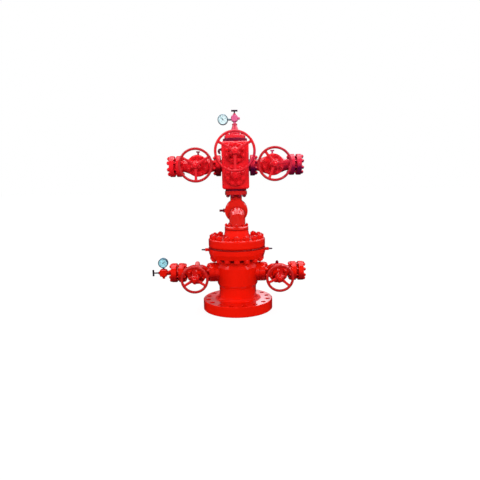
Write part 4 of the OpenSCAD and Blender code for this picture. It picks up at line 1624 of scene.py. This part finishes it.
@dataclass
class JointBand:
    """Dark band of painted shade that closes the narrow gap of a joint."""

    name: str
    radius: float
    low: float
    high: float
    y: float = 0.0
    paint: Paint = Paint.SEAM
    thick: float = 0.030

    def build(self, shop: PaintShop) -> None:
        """Makes the band.

        Args:
            shop: The paint shop.
        """
        forge = Forge(self.name)
        inner, outer = self.radius - self.thick, self.radius
        profile = raised(self.low, (inner, 0), (outer - 0.001, 0), (outer, 0.001))
        profile += [(outer - 0.0002, (self.low + self.high) / 2)]
        profile += raised(self.high, (outer, -0.001), (outer - 0.001, 0), (inner, 0))
        profile += [(inner, self.low)]
        forge.lathe(profile, Way.UP.frame((0.0, self.y, 0.0)), 72)
        shop.hang(forge, (self.paint,))
        LOG.info("%s: band", self.name)


@dataclass
class StudCircle:
    """A circle of studs with a nut on each shown end, all on one axis.

    grip is what the nuts hold between them, show how far a stud stands out of its nut, tall the
    height of a nut for its stud's diameter, and step the unit of the uneven turns of the nuts.
    """

    name: str
    way: Way
    centre: Point
    circle: float
    stud: float
    grip: float
    count: int = 8
    low_nut: bool = False
    phase: float = 0.5
    show: float = 0.007
    tall: float = 0.95
    step: float = 0.37
    paint: Paint = Paint.NUT

    def build(self, shop: PaintShop) -> None:
        """Makes the studs and nuts as one piece.

        Args:
            shop: The paint shop.
        """
        forge = Forge(self.name)
        base = self.way.frame(self.centre)
        flat = self.stud * NUT_FLAT
        nut = self.stud * self.tall
        top = self.grip + nut
        for i in range(self.count):
            turn = spin(2 * math.pi * (i + self.phase) / self.count)
            place = base @ turn @ Matrix.Translation((self.circle / 2, 0, 0))
            tilt = spin(self.step * ((i * 5) % 7))
            forge.nut(flat, nut, place @ lift(self.grip) @ tilt)
            forge.lathe(self.end(top), place, 12)
            if self.low_nut:
                forge.nut(flat, nut, place @ lift(-nut) @ tilt)
                forge.lathe(self.end(top), place @ lift(self.grip) @ spin(math.pi, "X"), 12)
        shop.hang(forge, (self.paint,))
        LOG.info("%s: %d studs", self.name, self.count)

    def end(self, foot: float) -> Profile:
        """Gives the profile of a stud's end, from the middle of the grip.

        Args:
            foot: Height of the outer face of the nut.

        Returns:
            The points for Forge.lathe.
        """
        pitch = self.stud / 8
        radius = self.stud / 2
        turns = max(2, int(self.show / pitch))
        tip = foot + turns * pitch + pitch * 0.4
        points = [(0.0, self.grip / 2), (radius * 0.93, self.grip / 2), (radius * 0.93, foot)]
        for k in range(turns):
            points += raised(foot, (radius, (k + 0.5) * pitch), (radius * 0.90, (k + 1) * pitch))
        return points + [(radius * 0.75, tip), (0.0, tip)]


@dataclass
class Studs:
    """All the stud circles of the wellhead."""

    layout: Layout

    def circles(self) -> list[StudCircle]:
        """Lists the stud circles.

        Returns:
            One entry for each circle.
        """
        lay = self.layout
        y = lay.tree_y
        head_foot = (0, 0, box("head_adapter")[0].z - lay.head_t)
        found = [
            StudCircle("head_studs", Way.UP, head_foot, 0.376, 0.026, lay.head_t + lay.adapter_t,
                       count=16, low_nut=True, phase=0.0),
            StudCircle("elbow_studs", Way.UP, (0, 0, lay.foot("elbow")), 0.160, 0.0135,
                       lay.elbow_flange_t, phase=0.0),
            # These studs take the darker WINE copy, painted shade under the tree flange.
            StudCircle("tree_studs", Way.DOWN, (0, y, lay.foot("valve_block")), 0.142, 0.017,
                       lay.tree_flange_t + lay.tree_gap, show=0.002, tall=0.80, paint=Paint.WINE),
            StudCircle("cap_studs", Way.UP, (0, y, lay.foot("cap_flange")), 0.129, 0.016,
                       lay.cap_gap + lay.cap_t),
        ]
        for node in ("upper_bonnet", "lower_bonnet"):
            found.append(StudCircle(node + "_studs", Way.FRONT, Way.FRONT.foot(node), 0.126,
                                    0.0185, lay.block_bonnet_t))
        for side in Side:
            upper_root = lay.up_flange_t + lay.up_stub
            found += self.arm("upper", side, 0.130, 0.136, 0.016, lay.up_flange_t, upper_root)
            found += self.arm("lower", side, 0.118, 0.114, 0.015, lay.low_flange_t,
                              lay.low_inner_t)
        return found

    def arm(self, row: str, side: Side, circle: float, bonnet_circle: float, stud: float,
            outer_t: float, inner_t: float) -> list[StudCircle]:
        """Lists the stud circles of one arm.

        Args:
            row: upper or lower.
            side: Side of the arm.
            circle: Diameter of the stud circles on the flanges.
            bonnet_circle: Diameter of the stud circle on the bonnet.
            stud: Diameter of the studs.
            outer_t: Thickness of the outer flanges.
            inner_t: What the studs of the inner flange hold.

        Returns:
            The circles of the outer joint, the inner flange and the bonnet.
        """
        name = f"{row}_{side.word}"
        bonnet = name + "_bonnet"
        _, y, z = middle(name + "_end_flange")
        low, high = box(name + "_valve")
        inner, outer = (high.x, low.x) if side is Side.LEFT else (low.x, high.x)
        away = Way[side.name]
        start = outer - side.value * outer_t
        joint_grip = 2 * outer_t + self.layout.ring_gap
        return [
            StudCircle(name + "_joint_studs", away, (start, y, z), circle, stud, joint_grip,
                       low_nut=True, show=0.003, tall=0.80),
            StudCircle(name + "_root_studs", away, (inner, y, z), circle, stud, inner_t),
            StudCircle(bonnet + "_studs", Way.FRONT, Way.FRONT.foot(bonnet), bonnet_circle, stud,
                       self.layout.bonnet_t),
        ]

    def build(self, shop: PaintShop) -> None:
        """Makes every circle."""
        for circle in self.circles():
            circle.build(shop)


@dataclass
class GaugeFace:
    """Dial, marks, numbers, pointer and glass of one pressure gauge.

    A tick is given by where it starts, as a share of the dial, and half its width. The lifts
    count from the dial towards the viewer, and glass_depth from the front of the case.
    """

    node: str
    pointer_deg: float
    paint: Paint
    bezel: float = 0.006
    drop: float = 0.004
    steps: int = 8
    ticks: int = 5
    tick_end: float = 0.93
    long_tick: tuple[float, float] = (0.78, 0.0007)
    short_tick: tuple[float, float] = (0.86, 0.0004)
    ink_lift: float = 0.0008
    hand_lift: float = 0.0018
    hub_lift: float = 0.0006
    glass_depth: float = 0.0012

    @property
    def radius(self) -> float:
        """Radius of the gauge's case, which fills its box but for the stem."""
        across, _, tall = lengths(self.node)
        return min(across, tall) / 2

    @property
    def inner(self) -> float:
        """Radius of the dial."""
        return self.radius - self.bezel

    def centre(self, lifted: float) -> Point:
        """Gives the dial's middle, lifted off the dial towards the viewer."""
        low, high = box(self.node)
        return (low.x + self.radius, low.y + self.drop - lifted, high.z - self.radius)

    def angle(self, share: float) -> float:
        """Gives the angle on the dial for a share of the full scale, in radians."""
        return math.radians(225 - 270 * share)

    def build(self, shop: PaintShop) -> None:
        """Makes the pieces of the face and seats them in the gauge's case.

        Args:
            shop: The paint shop.
        """
        inner = self.inner
        rim, thick = inner - 0.0002, 0.0006
        plate = [(0, 0), (rim, 0), (rim, thick), (0, thick)]
        self.turned(shop, "_dial", self.paint, plate, 0.0)
        self.marks(shop)
        self.hand(shop)
        rim = inner - 0.0003
        dome = [(0, 0), (rim, 0), (rim, 0.0010), (inner * 0.6, 0.0016), (0, 0.0019)]
        self.turned(shop, "_glass", Paint.GLASS, dome, self.drop - self.glass_depth)
        LOG.info("%s: dial, marks, pointer and glass", self.node)

    def turned(self, shop: PaintShop, name: str, paint: Paint, profile: Profile,
               lifted: float) -> None:
        """Makes one round piece of the face.

        Args:
            shop: The paint shop.
            name: End of the piece's name.
            paint: Its paint.
            profile: Points of its profile.
            lifted: How far its foot is lifted off the dial.
        """
        forge = Forge(self.node + name)
        forge.lathe(profile, Way.FRONT.frame(self.centre(lifted)), 64)
        shop.hang(forge, (paint,))

    def marks(self, shop: PaintShop) -> None:
        """Makes the scale's marks and plain numbers.

        Args:
            shop: The paint shop.
        """
        forge = Forge(self.node + "_marks")
        total = self.steps * self.ticks
        base = Vector(self.centre(self.ink_lift))
        for i in range(total + 1):
            start, half = self.short_tick if i % self.ticks else self.long_tick
            a = self.angle(i / total)
            u = Vector((math.cos(a), 0, math.sin(a)))
            v = Vector((-u.z, 0, u.x)) * half
            r0, r1 = self.inner * start, self.inner * self.tick_end
            forge.slab([base + u * r0 - v, base + u * r1 - v, base + u * r1 + v, base + u * r0 + v],
                       0.0003)
        shop.hang(forge, (Paint.INK,))
        for i in range(0, self.steps + 1, 2):
            self.number(shop, str(i * self.ticks), self.angle(i / self.steps))

    def number(self, shop: PaintShop, words: str, angle: float) -> None:
        """Makes one plain number on the scale.

        Args:
            shop: The paint shop.
            words: The number.
            angle: Its angle on the dial.
        """
        curve = bpy.data.curves.new(f"{self.node}_number_{words}", "FONT")
        curve.body = words
        curve.size = self.inner * 0.24
        curve.align_x = "CENTER"
        curve.align_y = "CENTER"
        curve.extrude = 0.0001
        curve.materials.append(shop.get(Paint.INK))
        text = new_object(curve.name, curve)
        r = self.inner * 0.58
        x, y, z = self.centre(self.ink_lift)
        text.location = (x + r * math.cos(angle), y, z + r * math.sin(angle))
        text.rotation_euler = (math.pi / 2, 0, 0)
        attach(text, "wellhead")

    def hand(self, shop: PaintShop) -> None:
        """Makes the pointer and its hub.

        Args:
            shop: The paint shop.
        """
        forge = Forge(self.node + "_pointer")
        inner = self.inner
        angle = math.radians(self.pointer_deg)
        u = Vector((math.cos(angle), 0, math.sin(angle)))
        v = Vector((-u.z, 0, u.x))
        base = Vector(self.centre(self.hand_lift))
        outline = ((-0.24, -0.06), (0.0, -0.085), (0.80, -0.012),
                   (0.80, 0.012), (0.0, 0.085), (-0.24, 0.06))
        forge.slab([base + (u * a + v * b) * inner for a, b in outline], 0.0005)
        hub = [(0, 0), (inner * 0.12, 0), (inner * 0.12, 0.0015), (inner * 0.06, 0.0022),
               (0, 0.0022)]
        forge.lathe(hub, Way.FRONT.frame(self.centre(self.hub_lift)), 24)
        shop.hang(forge, (Paint.INK,))


@dataclass
class PaintedFrame:
    """The CAD nodes that show as they are, and the paint of each that isn't red."""

    special: dict[str, Paint] = field(
        default_factory=lambda: {
            # The spool takes shade painted on its throat.
            "tubing_head_spool": Paint.SPOOL,
            "check_spindle": Paint.MAROON,
            # The knob's paler paint is a painted highlight.
            "lower_left_knob": Paint.KNOB,
            "top_gauge": Paint.CASE,
            "side_gauge": Paint.CASE_BLUE,
            "base_flange": Paint.GLOSS,
            # The drum's darker copy of the red enamel is painted shade.
            "check_body": Paint.DRUM,
        }
    )

    def dress(self, nodes: dict[str, bpy.types.Object], shop: PaintShop) -> None:
        """Puts a paint on every CAD node.

        Args:
            nodes: The frame's nodes by name.
            shop: The paint shop.
        """
        for name, node in nodes.items():
            node.data.materials.clear()
            node.data.materials.append(shop.get(self.special.get(name, Paint.RED)))
        LOG.info("painted %d CAD nodes", len(nodes))


@dataclass
class Castings:
    """Every piece that stands in for a CAD node, and the bands in the joints."""

    layout: Layout
    turns: dict[str, float] = field(
        default_factory=lambda: {
            "centre": -90, "upper_left": -90, "upper_right": -112, "lower_left": 90,
            "lower_right": 80,
        }
    )

    def pieces(self) -> list[StandIn]:
        """Lists the pieces, from the handwheels to the lockdown screws.

        Returns:
            The pieces, in the order of their making.
        """
        found: list[StandIn] = []
        for name, turn in self.turns.items():
            # The side wheels' rims take the darker RIM copy, painted shade.
            paints = (Paint.WHEEL, Paint.WHEEL if name == "centre" else Paint.RIM)
            found.append(HandwheelLook(name + "_handwheel", turn, paints=paints,
                                       slot="wheel_paint", body=name + "_wheel"))
        for word, side in ((side.word, side) for side in Side):
            found += [
                ValveCasting(f"upper_{word}_valve", side, UPPER_VALVE),
                ValveCasting(f"lower_{word}_valve", side, LOWER_VALVE),
                BonnetLook(f"upper_{word}_bonnet", self.layout.bonnet_t, 0.042),
                BonnetLook(f"lower_{word}_bonnet", self.layout.bonnet_t, 0.042),
            ]
        dark = {"paints": (Paint.DARK,), "slot": "dark_steel"}
        maroon = {"paints": (Paint.MAROON,), "slot": "dark_steel"}
        return found + [
            BonnetLook("upper_bonnet", self.layout.block_bonnet_t, 0.048),
            LowerBonnetLook("lower_bonnet"),
            HandleLook("top_needle_handle", Way.UP, body="top_handle", **dark),
            HandleLook("side_needle_handle", Way.LEFT, body="side_handle", **dark),
            VentLook("upper_left_vent", **maroon),
            # The right vent takes VIOLET where the left takes maroon: a painted tint of the light.
            VentLook("upper_right_vent", paints=(Paint.VIOLET,), slot="dark_steel"),
            ElbowLook("elbow", paints=(Paint.LEG,)),
            PlugLook("lower_right_plug", **maroon),
            NeedleLook("top_needle_valve", Way.UP, 0.056, 0.012,
                       paints=(Paint.PINK, Paint.MAROON), slot="pink_paint"),
            NeedleLook("side_needle_valve", Way.LEFT, 0.064, 0.0, paints=(Paint.RED, Paint.MAROON)),
            BleedLook("bleed_fitting", **maroon),
            LockdownLook("lockdown_screws", paints=(Paint.DARK, Paint.NUT), slot="dark_steel"),
        ]

    def bands(self) -> list[JointBand]:
        """Lists the bands in the joints.

        Returns:
            The bands, in the order of their making.
        """
        lay = self.layout
        block, elbow, cap = (lay.foot(node) for node in ("valve_block", "elbow", "cap_flange"))
        joint = lay.foot("head_adapter")
        head_r = lengths("head_adapter")[0] / 2 + 0.0006
        # Bands of painted shade in the joint gaps; those at the tree and the cap in maroon.
        return [
            JointBand("tree_band", 0.0845, block - lay.tree_gap + 0.0005, block + 0.010,
                      lay.tree_y, Paint.MAROON),
            JointBand("elbow_band", 0.0926, elbow + 0.0003, elbow + 0.008),
            JointBand("head_band", head_r, joint - 0.006, joint + 0.003),
            JointBand("cap_band", 0.0960, cap - 0.016, cap + lay.cap_gap - 0.0005,
                      lay.tree_y, Paint.MAROON),
        ]

    def build(self, shop: PaintShop) -> None:
        """Makes every piece and band."""
        for item in self.pieces() + self.bands():
            item.build(shop)


@dataclass
class Studio:
    """Pale floor, white surround, soft lamps and the camera.

    Glossy paint mirrors a bright back, brighter on the right, a tall window and a screen
    overhead. The bands and rises are directions, as parts of a unit vector.
    """

    floor_half: float = 30.0
    floor_glow: float = 0.90
    camera_at: Point = (0.025, -3.130, 1.003)
    focal_pixels: float = 405.0
    frame_pixels: float = 480.0
    pitch_deg: float = 8.43
    roll_deg: float = -1.1
    sky: float = 0.8
    zenith: float = 0.8
    back_y: Rise = (0.02, 0.10)
    back_z: Rise = (0.13, 0.24)
    right_x: Rise = (-0.10, 0.02)
    left_share: float = 0.18
    screen: float = 6.0
    screen_y: Band = (-0.50, -0.42, 0.45, 0.60)
    screen_z: Rise = (0.40, 0.55)
    window: float = 2.2
    window_x: Band = (0.020, 0.040, 0.056, 0.080)
    window_z: Band = (0.26, 0.30, 0.36, 0.42)
    overhead: float = 0.15
    horizon: float = 2.3

    def build(self) -> None:
        """Makes the floor, the surround, the lamps and the camera."""
        self.floor()
        self.surround()
        self.lamp("key", (0.9, -4.2, 2.6), (0.0, 0.0, 0.75), 1.6, 70.0, False)
        self.lamp("fill", (-2.6, -3.4, 1.2), (0.0, 0.0, 0.8), 2.2, 10.0, False)
        self.lamp("rim", (1.6, 1.6, 3.0), (0.0, 0.0, 0.9), 0.9, 30.0, True)
        self.camera()
        LOG.info("studio ready")

    def floor(self) -> None:
        """Makes the pale floor."""
        half = self.floor_half
        forge = Forge("floor")
        corners = ((-half, -half, 0.0), (half, -half, 0.0), (half, half, 0.0), (-half, half, 0.0))
        forge.mesh.faces.new([forge.mesh.verts.new(corner) for corner in corners])
        material = bpy.data.materials.new("pale_floor")
        n = fresh_nodes(material)
        ray = n.add("LightPath").outputs
        grey = n.blend(ray["Is Glossy Ray"], (0.12, 0.12, 0.12), (0.01, 0.01, 0.01))
        matt = n.feed(n.add("BsdfDiffuse"), Color=grey)
        glow = n.feed(n.add("Emission"), Color=WHITE,
                      Strength=n.times(ray["Is Camera Ray"], self.floor_glow))
        both = n.add("AddShader")
        n.put(matt.outputs[0], both.inputs[0])
        n.put(glow.outputs[0], both.inputs[1])
        n.feed(n.add("OutputMaterial"), Surface=both.outputs[0])
        forge.finish([material], 35.0)

    def surround(self) -> None:
        """Sets a world that is soft light for the object and white for the camera."""
        world = bpy.data.worlds.new("surround")
        bpy.context.scene.world = world
        n = fresh_nodes(world)
        ray = n.add("LightPath").outputs
        seen = n.maths("MAXIMUM", ray["Is Camera Ray"], ray["Is Transmission Ray"])
        way = n.axes(n.here("Generated"))
        back = n.times(n.ramp(way["Z"], *self.back_z), n.ramp(way["Y"], *self.back_y))
        right = n.times(n.ramp(way["X"], *self.right_x), 1 - self.left_share)
        right = n.plus(right, self.left_share)
        level = n.plus(n.times(way["Z"], self.zenith), self.sky)
        window = n.times(n.band(way["X"], self.window_x), n.band(way["Z"], self.window_z))
        screen = n.times(n.band(way["Y"], self.screen_y), n.ramp(way["Z"], *self.screen_z))
        bright = n.plus(n.times(back, n.times(right, level)), n.times(window, self.window),
                        n.times(screen, self.screen), 0.01)
        flat = n.maths("SUBTRACT", 1.0, n.maths("MAXIMUM", way["Z"], 0.0))
        even = n.plus(n.times(flat, self.horizon), self.overhead)
        soft, mirror, white = (
            n.feed(n.add("Background"), Color=colour, Strength=strength)
            for colour, strength in ((WHITE, even), ((1.0, 0.92, 1.0), bright), (WHITE, 1.0))
        )
        shiny = n.mix_shaders(ray["Is Glossy Ray"], soft, mirror)
        mix = n.mix_shaders(seen, shiny, white)
        n.feed(n.add("OutputWorld"), Surface=mix.outputs[0])

    def lamp(self, name: str, at: Point, target: Point, size: float, power: float,
             shows: bool) -> None:
        """Adds a square soft lamp.

        Args:
            name: Name of the lamp.
            at: Its place.
            target: The point it faces.
            size: Length of its side.
            power: Its power in watts.
            shows: Whether glossy paint mirrors it.
        """
        data = bpy.data.lights.new(name, "AREA")
        data.shape = "SQUARE"
        data.size = size
        data.energy = power
        lamp = new_object(name, data)
        lamp.location = at
        lamp.visible_glossy = shows
        lamp.rotation_euler = (Vector(target) - Vector(at)).to_track_quat("-Z", "Y").to_euler()

    def camera(self) -> None:
        """Sets the camera at the photograph's angle."""
        pitch = math.radians(self.pitch_deg)
        roll = math.radians(self.roll_deg)
        ahead = Vector((0, math.cos(pitch), -math.sin(pitch)))
        right = Vector((1, 0, 0))
        up = right.cross(ahead)
        turned_right = right * math.cos(roll) + up * math.sin(roll)
        turned_up = up * math.cos(roll) - right * math.sin(roll)
        data = bpy.data.cameras.new("photo_camera")
        data.sensor_width = 36.0
        data.lens = self.focal_pixels / self.frame_pixels * data.sensor_width
        camera = new_object("photo_camera", data)
        basis = Matrix((turned_right, turned_up, -ahead)).transposed().to_4x4()
        camera.matrix_world = Matrix.Translation(self.camera_at) @ basis
        bpy.context.scene.camera = camera
        bpy.context.scene.view_settings.view_transform = "Standard"


def main() -> None:
    """Builds the wellhead's looks around the frame."""
    logging.basicConfig(level=logging.INFO, format="%(name)s: %(message)s")
    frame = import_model()
    shop = PaintShop()
    layout = Layout()
    PaintedFrame().dress(frame["nodes"], shop)
    Studs(layout).build(shop)
    Castings(layout).build(shop)
    GaugeFace("top_gauge", 130, Paint.DIAL).build(shop)
    GaugeFace("side_gauge", 40, Paint.DIAL_BLUE).build(shop)
    Studio().build()


if __name__ == "__main__":
    main()
